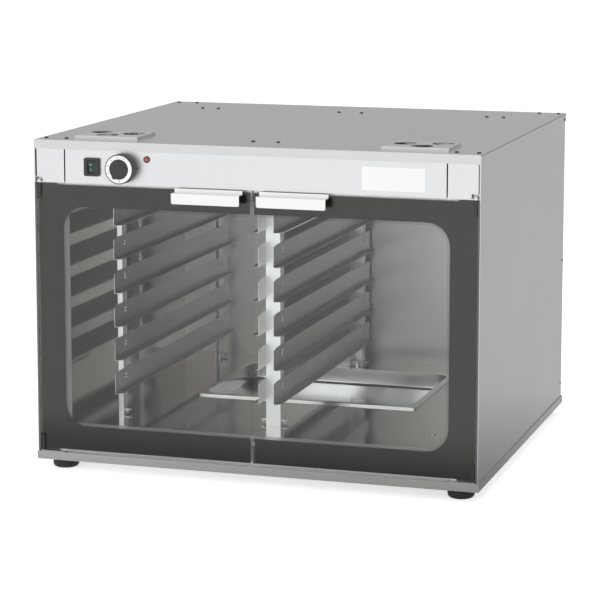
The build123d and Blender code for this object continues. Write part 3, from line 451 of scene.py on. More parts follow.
def made(finish: "BrushedSteel | Moulded | Enamel | PaneGlass | Wool | Lens | Ink") -> Material:
    """A field that holds a finish's material, built when the finishes are.

    Args:
        finish: the finish.

    Returns:
        The field.
    """
    return field(default_factory=finish.material)


@dataclass(frozen=True)
class Finishes:
    """Every finish of the cabinet, made once."""

    cover: Material = made(BrushedSteel("cover_steel", (0.58, 0.58, 0.58), Axis.X, 0.3))
    side: Material = made(BrushedSteel("side_steel", (0.58, 0.585, 0.58), Axis.Z, 0.3))
    tray: Material = made(BrushedSteel("tray_steel", (0.55, 0.545, 0.535), Axis.X, 0.34))
    fascia: Material = made(BrushedSteel("fascia_steel", (0.645, 0.65, 0.66), Axis.X, 0.34, 0.03, 0.02))
    locator: Material = made(BrushedSteel("locator_steel", (0.61, 0.61, 0.61), Axis.X, 0.24))
    liner: Material = made(BrushedSteel("liner_steel", (0.6, 0.595, 0.585), Axis.Z, 0.36, 0.05, relief=0.0))
    mirror: Material = made(BrushedSteel("wall_steel", (0.68, 0.65, 0.625), Axis.Z, 0.07, 0.04, relief=0.0))
    floor: Material = made(BrushedSteel("floor_steel", (0.64, 0.605, 0.58), Axis.Y, 0.09, 0.05, relief=0.0))
    jamb: Material = made(BrushedSteel("jamb_steel", (0.93, 0.93, 0.92), Axis.Z, 0.34, 0.03, metallic=0.5))
    rack: Material = made(BrushedSteel("post_steel", (0.93, 0.93, 0.93), Axis.Z, 0.3, 0.03, metallic=0.6))
    guide: Material = made(BrushedSteel("guide_steel", (0.62, 0.62, 0.61), Axis.Y, 0.36, 0.04, relief=0.0))
    handle: Material = made(BrushedSteel("handle_steel", (0.76, 0.76, 0.76), Axis.X, 0.3, 0.02, 0.02))
    fixing: Material = made(BrushedSteel("fixing_steel", (0.6, 0.6, 0.6), Axis.Z, 0.2))
    # painted shade: the screw heads are coloured near black, darker than steel; their dark dots come partly
    # from the modelled cross recesses and partly from this colour
    screw: Material = made(BrushedSteel("screw_steel", (0.03, 0.03, 0.03), Axis.X, 0.3))
    rivet: Material = made(BrushedSteel("rivet_steel", (0.97, 0.97, 0.97), Axis.Z, 0.25, 0.02, 0.02))
    # painted shade: a dark grey for the strips that stand in for shadow in gaps
    shade: Material = made(Moulded("painted_joint_shade", (0.1, 0.1, 0.1), 0.6))
    pan: Material = made(BrushedSteel("pan_steel", (0.85, 0.85, 0.85), Axis.Y, 0.16, 0.03))
    sheath: Material = made(BrushedSteel("element_sheath", (0.2, 0.18, 0.16), Axis.X, 0.45, 0.2, 0.3))
    copper: Material = made(BrushedSteel("copper_bulb", (0.7, 0.38, 0.24), Axis.Y, 0.3))
    glass: Material = made(PaneGlass("door_glass_clear"))
    enamel: Material = made(Enamel("door_enamel"))
    seal: Material = made(Moulded("door_seal", (0.22, 0.22, 0.215), 0.6))
    rubber: Material = made(Moulded("foot_rubber", (0.012, 0.013, 0.013), 0.5, 700.0, 0.05, 0.4, 0.1))
    black: Material = made(Moulded("black_plastic", (0.016, 0.016, 0.015), 0.36))
    dial: Material = made(Moulded("dial_white", (0.82, 0.82, 0.8), 0.35, 600.0, 0.01, 0.2))
    green: Material = made(Moulded("rocker_green", (0.004, 0.026, 0.021), 0.22, 300.0, 0.01, 0.3))
    lens: Material = made(Lens("lamp_amber", (0.2, 0.045, 0.012)))
    wool: Material = made(Wool("mineral_wool"))
    dark_ink: Material = made(Ink("dark_ink", (0.02, 0.02, 0.02)))
    pale_ink: Material = made(Ink("pale_ink", (0.55, 0.75, 0.7)))
    plate: Material = made(Moulded("plate_white", (0.86, 0.86, 0.86), 0.4, 500.0, 0.01, 0.1))


def dress(material: Material, *nodes: str) -> None:
    """Gives CAD nodes a finish.

    Args:
        material: the finish.
        *nodes: the names of the nodes.
    """
    for name in nodes:
        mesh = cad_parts[name].data
        mesh.materials.clear()
        mesh.materials.append(material)
        LOG.info("dressed %s in %s", name, material.name)


# Mesh making


class Shaper:
    """Collects geometry in one bmesh and turns it into a piece that rides on a body."""

    SCREW_TURNS = 24
    CROSS_REACH = 0.55
    CROSS_HALF = 0.14
    SCREW_RIM = 0.72
    RECESS = (0.6, 0.35)
    SMOOTH_ANGLE = 32.0

    def __init__(self, name: str) -> None:
        """Starts an empty piece.

        Args:
            name: the piece's name.
        """
        self.name = name
        self.mesh = bmesh.new()

    def ring(self, radius: float, height: float, turns: int, matrix: Matrix) -> list[bmesh.types.BMVert]:
        """A ring of points round the axis.

        Args:
            radius: its radius.
            height: its height on the axis.
            turns: how many points it has.
            matrix: places the axis.

        Returns:
            The points.
        """
        angles = [2 * math.pi * i / turns for i in range(turns)]
        spots = [Vector((radius * math.cos(a), radius * math.sin(a), height)) for a in angles]
        return [self.mesh.verts.new(matrix @ spot) for spot in spots]

    def walls(self, low: list[bmesh.types.BMVert], high: list[bmesh.types.BMVert]) -> None:
        """Joins two loops of points by a wall.

        Args:
            low: the first loop.
            high: the second loop.
        """
        for i in range(len(low)):
            j = (i + 1) % len(low)
            self.mesh.faces.new((low[i], low[j], high[j], high[i]))

    def lathe(self, profile: Profile, turns: int, matrix: Matrix) -> None:
        """Turns a profile round its axis.

        Args:
            profile: radius and height of each ring; the ends with radius 0 are closed.
            turns: how many facets go round.
            matrix: places the axis, which is +Z, and its foot.
        """
        rings: list[list[bmesh.types.BMVert]] = []
        for radius, height in profile:
            if radius < 1e-7:
                rings.append([self.mesh.verts.new(matrix @ Vector((0, 0, height)))])
            else:
                rings.append(self.ring(radius, height, turns, matrix))
        for low, high in zip(rings, rings[1:]):
            for i in range(turns):
                j = (i + 1) % turns
                if len(low) == 1:
                    self.mesh.faces.new((low[0], high[i], high[j]))
                elif len(high) == 1:
                    self.mesh.faces.new((low[i], high[0], low[j]))
                else:
                    self.mesh.faces.new((low[i], high[i], high[j], low[j]))

    def prism(self, outline: Profile, height: float, matrix: Matrix) -> None:
        """Raises a flat outline.

        Args:
            outline: points in X and Y, in order.
            height: how far it goes along +Z.
            matrix: places it.
        """
        low = [self.mesh.verts.new(matrix @ Vector((x, y, 0.0))) for x, y in outline]
        high = [self.mesh.verts.new(matrix @ Vector((x, y, height))) for x, y in outline]
        self.mesh.faces.new(low[::-1])
        self.mesh.faces.new(high)
        self.walls(low, high)

    def roof(self, outline: Profile, rise: float, slope: float, matrix: Matrix) -> None:
        """Raises an outline to a face that falls to both sides of the line x = 0.

        Args:
            outline: points in X and Y, anticlockwise from the lower end of the line x = 0.
            rise: the height on that line.
            slope: how fast the face falls away from it.
            matrix: places it.
        """
        low = [self.mesh.verts.new(matrix @ Vector((x, y, 0.0))) for x, y in outline]
        high = [self.mesh.verts.new(matrix @ Vector((x, y, rise - slope * abs(x)))) for x, y in outline]
        self.walls(low, high)
        count = len(outline)
        self.mesh.faces.new(high[: count // 2 + 1])
        self.mesh.faces.new(high[count // 2 :] + high[:1])
        self.mesh.faces.new(low[::-1])

    def crossed_screw(self, radius: float, height: float, matrix: Matrix) -> None:
        """A pan head with a cross recess.

        Args:
            radius: the head's radius.
            height: the head's height.
            matrix: places its foot, with +Z out of the surface.
        """
        turns = self.SCREW_TURNS
        arm = self.CROSS_REACH * radius
        half = self.CROSS_HALF * radius
        rim = self.SCREW_RIM * radius
        inward, down = self.RECESS
        cross = [
            (half, half), (half, arm), (-half, arm), (-half, half), (-arm, half), (-arm, -half),
            (-half, -half), (-half, -arm), (half, -arm), (half, -half), (arm, -half), (arm, half),
        ]
        top = [self.mesh.verts.new(matrix @ Vector((x, y, height))) for x, y in cross]
        deep = [
            self.mesh.verts.new(matrix @ Vector((inward * x, inward * y, down * height))) for x, y in cross
        ]
        rings = []
        bevel = ((rim, height), (0.93 * radius, 0.75 * height), (radius, 0.3 * height), (radius, 0.0))
        for ring_radius, z in bevel:
            rings.append(self.ring(ring_radius, z, turns, matrix))
        self.walls(top, deep)
        self.mesh.faces.new(deep)
        for high, low in zip(rings, rings[1:]):
            for i in range(turns):
                j = (i + 1) % turns
                self.mesh.faces.new((high[i], low[i], low[j], high[j]))
        edges = [self.mesh.edges.get((top[i], top[(i + 1) % 12])) for i in range(12)]
        edges += [self.mesh.edges.get((rings[0][i], rings[0][(i + 1) % turns])) for i in range(turns)]
        bmesh.ops.triangle_fill(self.mesh, use_beauty=True, use_dissolve=False, edges=edges)

    def finish(
        self,
        material: Material,
        slot: str,
        body: Body,
        replaces: tuple[str, ...] = (),
        smooth: bool = True,
    ) -> bpy.types.Object:
        """Makes the object.

        Args:
            material: its finish.
            slot: the record's material slot that the finish stands for. It is not used.
            body: what it rides on.
            replaces: CAD nodes that it stands for.
            smooth: whether gentle angles are shaded smooth.

        Returns:
            The new object.
        """
        bmesh.ops.recalc_face_normals(self.mesh, faces=self.mesh.faces)
        data = bpy.data.meshes.new(self.name)
        self.mesh.to_mesh(data)
        self.mesh.free()
        data.materials.append(material)
        if smooth:
            data.shade_smooth()
            data.set_sharp_from_angle(angle=math.radians(self.SMOOTH_ANGLE))
        piece = bpy.data.objects.new(self.name, data)
        bpy.context.scene.collection.objects.link(piece)
        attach(piece, body.value)
        if replaces:
            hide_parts(*replaces)
        LOG.info("made %s, %d faces, on %s", self.name, len(data.polygons), body.value)
        return piece


def facing(axis: Axis, sign: int, spot: Point) -> Matrix:
    """A placement whose +Z looks along an axis of the frame.

    Args:
        axis: the axis.
        sign: +1 or -1 along it.
        spot: where its foot is.

    Returns:
        The placement.
    """
    aim = [0.0, 0.0, 0.0]
    aim[axis.value] = float(sign)
    turn = Vector(aim).to_track_quat("Z", "Y").to_matrix().to_4x4()
    return Matrix.Translation(spot) @ turn


def upright(x: float, y: float, z: float) -> Matrix:
    """A placement with +X to the right, +Y up and +Z towards the front.

    Args:
        x: its foot in X.
        y: its foot in Y.
        z: its foot in Z.

    Returns:
        The placement.
    """
    return Matrix(((1, 0, 0, x), (0, 0, -1, y), (0, 1, 0, z), (0, 0, 0, 1)))


def sideways(x: float, z: float, side: int = 1) -> Matrix:
    """A placement with +X to the rear, +Y up and +Z to one side.

    Args:
        x: its foot in X.
        z: its foot in Z.
        side: +1 or -1 for the side that +Z looks to.

    Returns:
        The placement.
    """
    return Matrix(((0, 0, side, x), (1, 0, 0, 0), (0, 1, 0, z), (0, 0, 0, 1)))


def centre_of(node: str) -> Vector:
    """The middle of a CAD node's box.

    Args:
        node: the node's name.

    Returns:
        The point.
    """
    low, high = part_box(node)
    return (low + high) / 2


# The cabinet's sub-assemblies


@dataclass
class Casing:
    """The outer sheets, the base tray and what is screwed to them."""

    finishes: Finishes
    screw_radius: float = 4.6 * MM
    screw_height: float = 2.2 * MM
    small_screw: float = 0.75
    side_screw_height: float = 1.1 * MM
    tray_screw_height: float = 0.044 * MM
    screw_turn: float = 37.0
    rear_screw_inset: float = 9.0 * MM
    rear_screw_drop: float = 13.0 * MM
    tray_screw_inset: float = 12.0 * MM
    corner_x: float = 501.0 * MM
    second_x: float = 452.0 * MM
    middle_x: float = 29.0 * MM
    front_edge: float = 40.0 * MM
    middle_edge: float = 104.0 * MM
    rear_edge: float = 22.0 * MM
    rear_row: float = 780.0 * MM
    rear_row_x: tuple[float, float] = (390.0 * MM, 348.0 * MM)
    cover_sheet: float = 1.2 * MM
    # seam and seam_proud size the painted shadow strips at the cover's edges and beside the doors
    seam: float = 1.6 * MM
    seam_proud: float = 0.05 * MM
    hem_shadow_width: float = 4.2 * MM
    split_shadow_width: float = 4.6 * MM
    mouth: tuple[float, float] = (104.0 * MM, 625.0 * MM)
    plate_size: tuple[float, float] = (141.0 * MM, 51.0 * MM)
    plate_centre: tuple[float, float] = (322.0 * MM, 701.0 * MM)
    plate_thick: float = 0.4 * MM
    plate_corner: float = 1.2 * MM

    def dress(self) -> None:
        """Gives the sheets their finishes."""
        f = self.finishes
        dress(f.cover, "top_cover")
        dress(f.side, "left_side_panel", "right_side_panel", "rear_panel")
        dress(f.tray, "base_tray")
        dress(f.fascia, "centre_fascia", "left_fascia", "right_fascia")
        dress(f.locator, "left_locator_plate", "right_locator_plate")
        dress(f.rubber, "feet")
        dress(f.jamb, "front_frame")
        dress(f.seal, "door_gasket")
        dress(f.black, "cable_gland", "terminal_block")

    def cover_screws(self) -> None:
        """The screws on the top, in the places of the CAD ones."""
        low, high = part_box("top_cover")
        places: Profile = []
        for side in (-1, 1):
            for x in (self.corner_x, self.second_x):
                places.append((side * x, low.y + self.front_edge))
                places.append((side * x, high.y - self.rear_edge))
            places.append((side * self.middle_x, low.y + self.middle_edge))
            places.append((side * self.middle_x, low.y + self.rear_row))
            for x in self.rear_row_x:
                places.append((side * x, low.y + self.rear_row))
        shaper = Shaper("cover_screw_heads")
        for index, (x, y) in enumerate(places):
            turn = Matrix.Rotation(math.radians(self.screw_turn * index), 4, "Z")
            shaper.crossed_screw(
                self.screw_radius, self.screw_height, facing(Axis.Z, 1, (x, y, high.z)) @ turn
            )
        shaper.finish(self.finishes.screw, "screw_steel", Body.CABINET, ("cover_screws",))

    def side_screws(self) -> None:
        """The screws near the rear corners of the side panels and of the tray's rim."""
        shaper = Shaper("side_screw_heads")
        for side, panel in ((-1, "left_side_panel"), (1, "right_side_panel")):
            low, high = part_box(panel)
            face = high.x if side > 0 else low.x
            y = high.y - self.rear_screw_inset
            for z in (high.z - self.rear_screw_drop, (high.z + low.z) / 2, low.z + 4 * self.rear_screw_drop):
                spot = facing(Axis.X, side, (face, y, z))
                shaper.crossed_screw(self.small_screw * self.screw_radius, self.side_screw_height, spot)
            tray_low, tray_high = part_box("base_tray")
            tray_face = tray_high.x if side > 0 else tray_low.x
            middle = (tray_low.z + tray_high.z) / 2
            spot = facing(Axis.X, side, (tray_face, tray_high.y - self.tray_screw_inset, middle))
            shaper.crossed_screw(self.small_screw * self.screw_radius, self.tray_screw_height, spot)
        shaper.finish(self.finishes.screw, "screw_steel", Body.CABINET)

    def painted_seam_shadows(self) -> None:
        """Painted shade: dark strips where the cover meets the side panels, standing in for the shadow in the
        gap between them.
        """
        low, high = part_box("top_cover")
        z = high.z - self.cover_sheet
        # painted shade: a thin dark strip along each side at the cover's edge, in place of the gap's shadow
        shaper = Shaper("cover_painted_seam_shadows")
        for side in (-1, 1):
            face = high.x if side > 0 else low.x
            outline = [(low.y, -self.seam), (high.y, -self.seam), (high.y, 0.0), (low.y, 0.0)]
            shaper.prism(outline, self.seam_proud, sideways(face, z, side))
        shaper.finish(self.finishes.shade, "cabinet_steel", Body.CABINET, smooth=False)

    def painted_door_joint_shadows(self) -> None:
        """Painted shade: dark strips on the side panels' hems beside the doors and on the frame behind the
        split between them, standing in for the shadow there.
        """
        pane_low, pane_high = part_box("left_door_glass")
        mouth_low, mouth_high = self.mouth
        strips: list[tuple[float, float, float, float, float]] = []
        for side, panel in ((-1, "left_side_panel"), (1, "right_side_panel")):
            low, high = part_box(panel)
            outer = (high.x if side > 0 else -low.x) - self.cover_sheet
            x0, x1 = sorted((side * outer, side * (outer - self.hem_shadow_width)))
            strips.append((x0, x1, pane_low.z, pane_high.z, low.y))
        frame_low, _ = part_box("front_frame")
        half = self.split_shadow_width / 2
        strips.append((-half, half, mouth_high, pane_high.z, frame_low.y))
        strips.append((-half, half, pane_low.z, mouth_low, frame_low.y))
        # painted shade: these strips stand in for the shadow in the gaps at the doors' edges, they are no
        # real part
        shaper = Shaper("door_joint_painted_shadows")
        for x0, x1, z0, z1, y in strips:
            shaper.prism([(x0, z0), (x1, z0), (x1, z1), (x0, z1)], self.seam_proud, upright(0.0, y, 0.0))
        shaper.finish(self.finishes.shade, "cabinet_steel", Body.CABINET, smooth=False)

    def blank_plate(self) -> None:
        """The bare white plate on the right of the fascia."""
        low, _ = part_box("centre_fascia")
        width, height = self.plate_size
        x, z = self.plate_centre
        outline = rounded(width, height, self.plate_corner, 4)
        shaper = Shaper("blank_fascia_plate")
        shaper.prism(outline, self.plate_thick, facing(Axis.Y, -1, (x, low.y, z)))
        shaper.finish(self.finishes.plate, "dial_white", Body.CABINET)

    def build(self) -> None:
        """Builds and dresses the casing."""
        self.dress()
        self.cover_screws()
        self.side_screws()
        self.painted_seam_shadows()
        self.painted_door_joint_shadows()
        self.blank_plate()


def rounded(width: float, height: float, corner: float, steps: int) -> Profile:
    """The outline of a rectangle with round corners.

    Args:
        width: its size in X.
        height: its size in Y.
        corner: the corner radius.
        steps: points on each corner after the first.

    Returns:
        The points, anticlockwise.
    """
    points = []
    for index, (sx, sy) in enumerate(((1, 1), (-1, 1), (-1, -1), (1, -1))):
        for step in range(steps + 1):
            angle = math.pi / 2 * (index + step / steps)
            x = sx * (width / 2 - corner) + corner * math.cos(angle)
            y = sy * (height / 2 - corner) + corner * math.sin(angle)
            points.append((x, y))
    return points


@dataclass
class Doors:
    """The two glass doors with their hinges, handles and catches."""

    finishes: Finishes
    border_share: float = 0.9
    clearance: float = 0.03 * MM
    edge_margin: float = 1.0 * MM
    edge_thick: float = 0.3 * MM
    shoe_height: float = 36.0 * MM
    dot_radius: float = 1.0 * MM
    dot_thick: float = 0.05 * MM
    dot_pitch: float = 4.6 * MM
    dot_rows: tuple[float, float] = (1.6 * MM, 4.4 * MM)
    window_radius: float = 52.0 * MM
    window_low_margin: float = 60.0 * MM
    window_top_margin: float = 52.5 * MM
    window_side_margin: float = 61.0 * MM

    def window_edge(self, inset: float, start: float) -> Profile:
        """Evenly spaced points inside the edge of the right door's window.

        Args:
            inset: how far inside the edge they run.
            start: where the first point is, along the edge.

        Returns:
            Points in X and Z, from the split at the bottom round to the split at the top.
        """
        low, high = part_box("right_door_glass")
        x0 = low.x + self.dot_pitch
        x1 = high.x - self.window_side_margin - inset
        z0 = low.z + self.window_low_margin + inset
        z1 = high.z - self.window_top_margin - inset
        radius = self.window_radius - inset
        straight = x1 - radius - x0
        quarter = math.pi / 2 * radius
        upright = z1 - z0 - 2 * radius
        points = []
        way = start
        while way < 2 * straight + 2 * quarter + upright:
            step = way
            if step < straight:
                points.append((x0 + step, z0))
            elif (step := step - straight) < quarter:
                angle = step / radius - math.pi / 2
                spot = (x1 - radius + radius * math.cos(angle), z0 + radius + radius * math.sin(angle))
                points.append(spot)
            elif (step := step - quarter) < upright:
                points.append((x1, z0 + radius + step))
            elif (step := step - upright) < quarter:
                angle = step / radius
                spot = (x1 - radius + radius * math.cos(angle), z1 - radius + radius * math.sin(angle))
                points.append(spot)
            else:
                points.append((x1 - radius - (step - quarter), z1))
            way += self.dot_pitch
        return points

    def enamel_borders(self) -> None:
        """The enamel borders, a hair behind the panes, so that no two faces share a plane."""
        for side, body in (("left", Body.LEFT_DOOR), ("right", Body.RIGHT_DOOR)):
            node = f"{side}_door_border"
            _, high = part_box(node)
            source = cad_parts[node]
            shaper = Shaper(f"{side}_enamel_border")
            shaper.mesh.from_mesh(source.data)
            shaper.mesh.transform(source.matrix_world)
            for vert in shaper.mesh.verts:
                vert.co.y = high.y - self.border_share * (high.y - vert.co.y)
            shaper.finish(self.finishes.enamel, "door_enamel", body, (node,), smooth=False)

    def enamel_edges(self) -> None:
        """The strip of enamel along the hinge edge of each pane, between its shoes."""
        for side, body in (("left", Body.LEFT_DOOR), ("right", Body.RIGHT_DOOR)):
            low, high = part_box(f"{side}_door_glass")
            border_low, border_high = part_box(f"{side}_door_border")
            if side == "right":
                x0, x1 = border_high.x, high.x - self.edge_margin
            else:
                x0, x1 = low.x + self.edge_margin, border_low.x
            z0 = low.z + self.shoe_height
            z1 = high.z - self.shoe_height
            outline = [(x0, -z1), (x1, -z1), (x1, -z0), (x0, -z0)]
            shaper = Shaper(f"{side}_enamel_edge")
            back = Matrix.Translation((0, high.y + self.clearance, 0))
            shaper.prism(outline, self.edge_thick, back @ Matrix.Rotation(math.radians(-90), 4, "X"))
            shaper.finish(self.finishes.enamel, "door_enamel", body, smooth=False)

    def enamel_dots(self) -> None:
        """Two staggered rows of enamel dots that soften the edge of each window."""
        _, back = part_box("right_door_glass")
        dot = [(self.dot_radius, 0.0), (self.dot_radius, self.dot_thick), (0.0, self.dot_thick)]
        for side, body, name in ((-1, Body.LEFT_DOOR, "left"), (1, Body.RIGHT_DOOR, "right")):
            shaper = Shaper(f"{name}_window_dots")
            for row, inset in enumerate(self.dot_rows):
                for x, z in self.window_edge(inset, row * self.dot_pitch / 2):
                    shaper.lathe(dot, 8, facing(Axis.Y, 1, (side * x, back.y + self.clearance, z)))
            shaper.finish(self.finishes.enamel, "door_enamel", body, smooth=False)

    def build(self) -> None:
        """Dresses both doors and adds the dots."""
        f = self.finishes
        for side in ("left", "right"):
            dress(f.glass, f"{side}_door_glass")
            dress(f.handle, f"{side}_door_handle")
            dress(f.fixing, f"{side}_door_handle_fixings", f"{side}_door_pivots", f"{side}_door_strike")
            dress(f.black, f"{side}_door_shoes")
        dress(f.black, "magnetic_catches")
        self.enamel_borders()
        self.enamel_edges()
        self.enamel_dots()


@dataclass
class Cavity:
    """The lined chamber with its pan, well, element and insulation."""

    finishes: Finishes

    def build(self) -> None:
        """Dresses the chamber."""
        f = self.finishes
        dress(f.mirror, "left_cavity_wall", "right_cavity_wall")
        dress(f.liner, "rear_cavity_wall", "cavity_ceiling", "pan_well")
        dress(f.floor, "cavity_floor")
        dress(f.pan, "water_pan")
        dress(f.sheath, "heating_element")
        dress(f.fixing, "element_saddles", "floor_plugs")
        dress(f.copper, "thermostat_bulb")
        dress(f.wool, "side_insulation", "rear_insulation", "top_insulation", "base_insulation")


@dataclass
class TrayRacks:
    """The posts and guides that carry the trays, with their rivets."""

    finishes: Finishes
    rivet_radius: float = 3.0 * MM
    rivet_height: float = 2.2 * MM
    sheet: float = 1.2 * MM
    post_half: float = 14.0 * MM
    levels: int = 6
    nose_length: float = 38.0 * MM
    nose_drop: float = 11.0 * MM
    seen_nose_length: float = 25.0 * MM
    seen_nose_drop: float = 4.0 * MM
    guide_height: float = 50.0 * MM
    rivet_rise: tuple[float, float] = (27.0 * MM, 35.0 * MM)
    rear_reach: float = 22.0 * MM

    def rivets(self) -> None:
        """Dome rivets that join each guide to its posts, and the corners that square its nose."""
        dome = [
            (self.rivet_radius, 0.0),
            (0.92 * self.rivet_radius, 0.45 * self.rivet_height),
            (0.6 * self.rivet_radius, 0.85 * self.rivet_height),
            (0.0, self.rivet_height),
        ]
        shaper = Shaper("guide_rivets")
        sets = (
            ("left_rack_guides", "left_rack_posts", 1),
            ("centre_rack_left_guides", "centre_rack_posts", -1),
            ("centre_rack_right_guides", "centre_rack_posts", 1),
        )
        noses = Shaper("guide_noses")
        for guides, posts, side in sets:
            low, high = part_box(guides)
            post_low, post_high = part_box(posts)
            face = low.x + self.sheet if side > 0 else high.x - self.sheet
            pitch = (high.z - low.z - self.guide_height) / (self.levels - 1)
            rows = (post_low.y + self.post_half, post_high.y - self.post_half)
            for level in range(self.levels):
                foot = low.z + level * pitch
                spots = [(y, rise) for y in rows for rise in self.rivet_rise]
                spots.append((post_high.y + self.rear_reach, self.rivet_rise[0]))
                for y, rise in spots:
                    shaper.lathe(dome, 12, facing(Axis.X, side, (face, y, foot + rise)))
                top = foot + self.guide_height
                outline = [
                    (low.y, top - self.nose_drop),
                    (low.y + self.nose_length, top),
                    (low.y + self.seen_nose_length, top),
                    (low.y, top - self.seen_nose_drop),
                ]
                back = low.x if side > 0 else high.x - self.sheet
                noses.prism(outline, self.sheet, sideways(back, 0.0))
        shaper.finish(self.finishes.rivet, "screw_steel", Body.CABINET)
        noses.finish(self.finishes.guide, "cabinet_steel", Body.CABINET, smooth=False)

    def build(self) -> None:
        """Builds and dresses the racks."""
        f = self.finishes
        dress(f.rack, "left_rack_posts", "centre_rack_posts")
        dress(f.guide, "left_rack_guides", "centre_rack_left_guides", "centre_rack_right_guides")
        dress(f.fixing, "rack_foot_studs", "rack_wing_nuts")
        self.rivets()


@dataclass
class Controls:
    """The rocker switch, the thermostat knob and the pilot lamp."""

    finishes: Finishes
    round_turns: int = 64
    skirt_margin: float = 2.5 * MM
    skirt_foot: float = 0.5 * MM
    skirt_bend: float = 1.5 * MM
    grip_radius: float = 21.0 * MM
    grip_rise: float = 4.0 * MM
    grip_slope: float = 0.15
    nose_width: float = 9.0 * MM
    nose_reach: float = 4.0 * MM
    nose_angle: float = -121.0
    ring_inner: float = 22.5 * MM
    ring_proud: float = 0.15 * MM
    mark_angles: tuple[float, ...] = (-88.0, 65.0, 98.0, 131.0, 165.0, 199.0)
    mark_reach: float = 0.86
    dot_radius: float = 1.2 * MM
    dot_thick: float = 0.08 * MM
    index_radius: float = 1.5 * MM
    index_thick: float = 0.1 * MM
    index_offset: float = 35.3 * MM
    pictogram_reach: float = 6.0 * MM
    pictogram_offset: float = -2.2 * MM
    pictogram_ring: tuple[float, float] = (1.0 * MM, 1.9 * MM)
    pictogram_bar: tuple[float, float] = (0.5 * MM, 2.0 * MM)
    pictogram_thick: float = 0.2 * MM
    rocker_tilt: float = 9.0
    rocker_half: float = 3.0 * MM
    rocker_hollow: float = 1.5 * MM

    def knob_face(self) -> tuple[Point, float]:
        """Where the knob's axis meets its back, and how far its skirt reaches."""
        low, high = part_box("knob")
        middle = centre_of("knob_dial")
        return (middle.x, high.y, middle.z), high.y - low.y - self.grip_rise

    def knob_body(self) -> None:
        """A deep skirt with a low grip whose face falls to both sides of a ridge."""
        foot, depth = self.knob_face()
        low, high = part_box("knob_dial")
        radius = (high.x - low.x) / 2 + self.skirt_margin
        bend = self.skirt_bend
        profile = [(radius - self.skirt_foot, 0.0), (radius, self.skirt_foot), (radius, depth - bend)]
        profile += [
            (radius - bend * (1 - math.cos(a)), depth - bend * (1 - math.sin(a)))
            for a in (math.radians(30.0 * k) for k in (1, 2, 3))
        ]
        profile.append((0.0, depth))
        shaper = Shaper("knob_skirt")
        shaper.lathe(profile, self.round_turns, facing(Axis.Y, -1, foot))
        shaper.finish(self.finishes.black, "black_plastic", Body.KNOB, ("knob",))
        outline = []
        half = math.degrees(math.asin(self.nose_width / 2 / self.grip_radius))
        for degrees in range(-90, 271, 6):
            off = (degrees - self.nose_angle + 180) % 360 - 180
            reach = self.grip_radius + (self.nose_reach if abs(off) <= half else 0.0)
            angle = math.radians(degrees)
            outline.append((reach * math.cos(angle), reach * math.sin(angle)))
        grip = Shaper("knob_grip")
        grip.roof(outline[:-1], self.grip_rise, self.grip_slope, upright(foot[0], foot[1] - depth, foot[2]))
        grip.finish(self.finishes.black, "black_plastic", Body.KNOB, smooth=False)

    def dial(self) -> None:
        """The white ring in the knob's face, with its marks."""
        foot, depth = self.knob_face()
        low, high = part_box("knob_dial")
        outer = (high.x - low.x) / 2
        place = upright(foot[0], foot[1] - depth, foot[2])
        top = self.ring_proud
        inner = self.ring_inner
        ring = [(inner, 0.0), (inner, top), (outer, top), (outer, 0.0), (inner, 0.0)]
        shaper = Shaper("knob_ring")
        shaper.lathe(ring, self.round_turns, place)
        shaper.finish(self.finishes.dial, "dial_white", Body.KNOB, ("knob_dial",))
        marks = Shaper("dial_marks")
        proud = top + self.dot_thick
        dot = [(self.dot_radius, top), (self.dot_radius, proud), (0.0, proud)]
        for degrees in self.mark_angles:
            angle = math.radians(degrees)
            reach = self.mark_reach * outer
            spot = Matrix.Translation((reach * math.cos(angle), reach * math.sin(angle), 0.0))
            marks.lathe(dot, 14, place @ spot)
        marks.finish(self.finishes.dark_ink, "black_plastic", Body.KNOB)

    def index_dot(self) -> None:
        """The dot on the fascia that the dial is read against."""
        low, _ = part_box("centre_fascia")
        knob = centre_of("knob_dial")
        shaper = Shaper("dial_index_dot")
        dot = [(self.index_radius, 0.0), (self.index_radius, self.index_thick), (0.0, self.index_thick)]
        shaper.lathe(dot, 16, facing(Axis.Y, -1, (knob.x + self.index_offset, low.y, knob.z)))
        shaper.finish(self.finishes.dark_ink, "black_plastic", Body.CABINET)

    def rocker_marks(self) -> None:
        """A ring on the upper half of the rocker and a bar on the lower half."""
        middle = centre_of("rocker")
        low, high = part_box("rocker")
        half_height = (high.z - low.z) / 2
        thick = self.pictogram_thick
        turn = Matrix.Translation(middle) @ Matrix.Rotation(math.radians(self.rocker_tilt), 4, "X")
        shaper = Shaper("rocker_marks")
        for side in (-1, 1):
            height = side * self.pictogram_reach
            face = self.rocker_hollow * (1 - abs(height) / half_height) - self.rocker_half
            place = turn @ upright(self.pictogram_offset, face, height)
            if side > 0:
                inner, outer = self.pictogram_ring
                shaper.lathe([(inner, 0.0), (inner, thick), (outer, thick), (outer, 0.0)], 20, place)
            else:
                half, reach = self.pictogram_bar
                bar = [(-half, -reach), (half, -reach), (half, reach), (-half, reach)]
                shaper.prism(bar, thick, place)
        shaper.finish(self.finishes.pale_ink, "dial_white", Body.ROCKER, smooth=False)

    def build(self) -> None:
        """Builds and dresses the controls."""
        f = self.finishes
        dress(f.black, "thermostat_body", "switch_body", "pilot_lamp")
        dress(f.green, "rocker")
        dress(f.lens, "lamp_lens")
        self.knob_body()
        self.dial()
        self.index_dot()
        self.rocker_marks()


# Studio


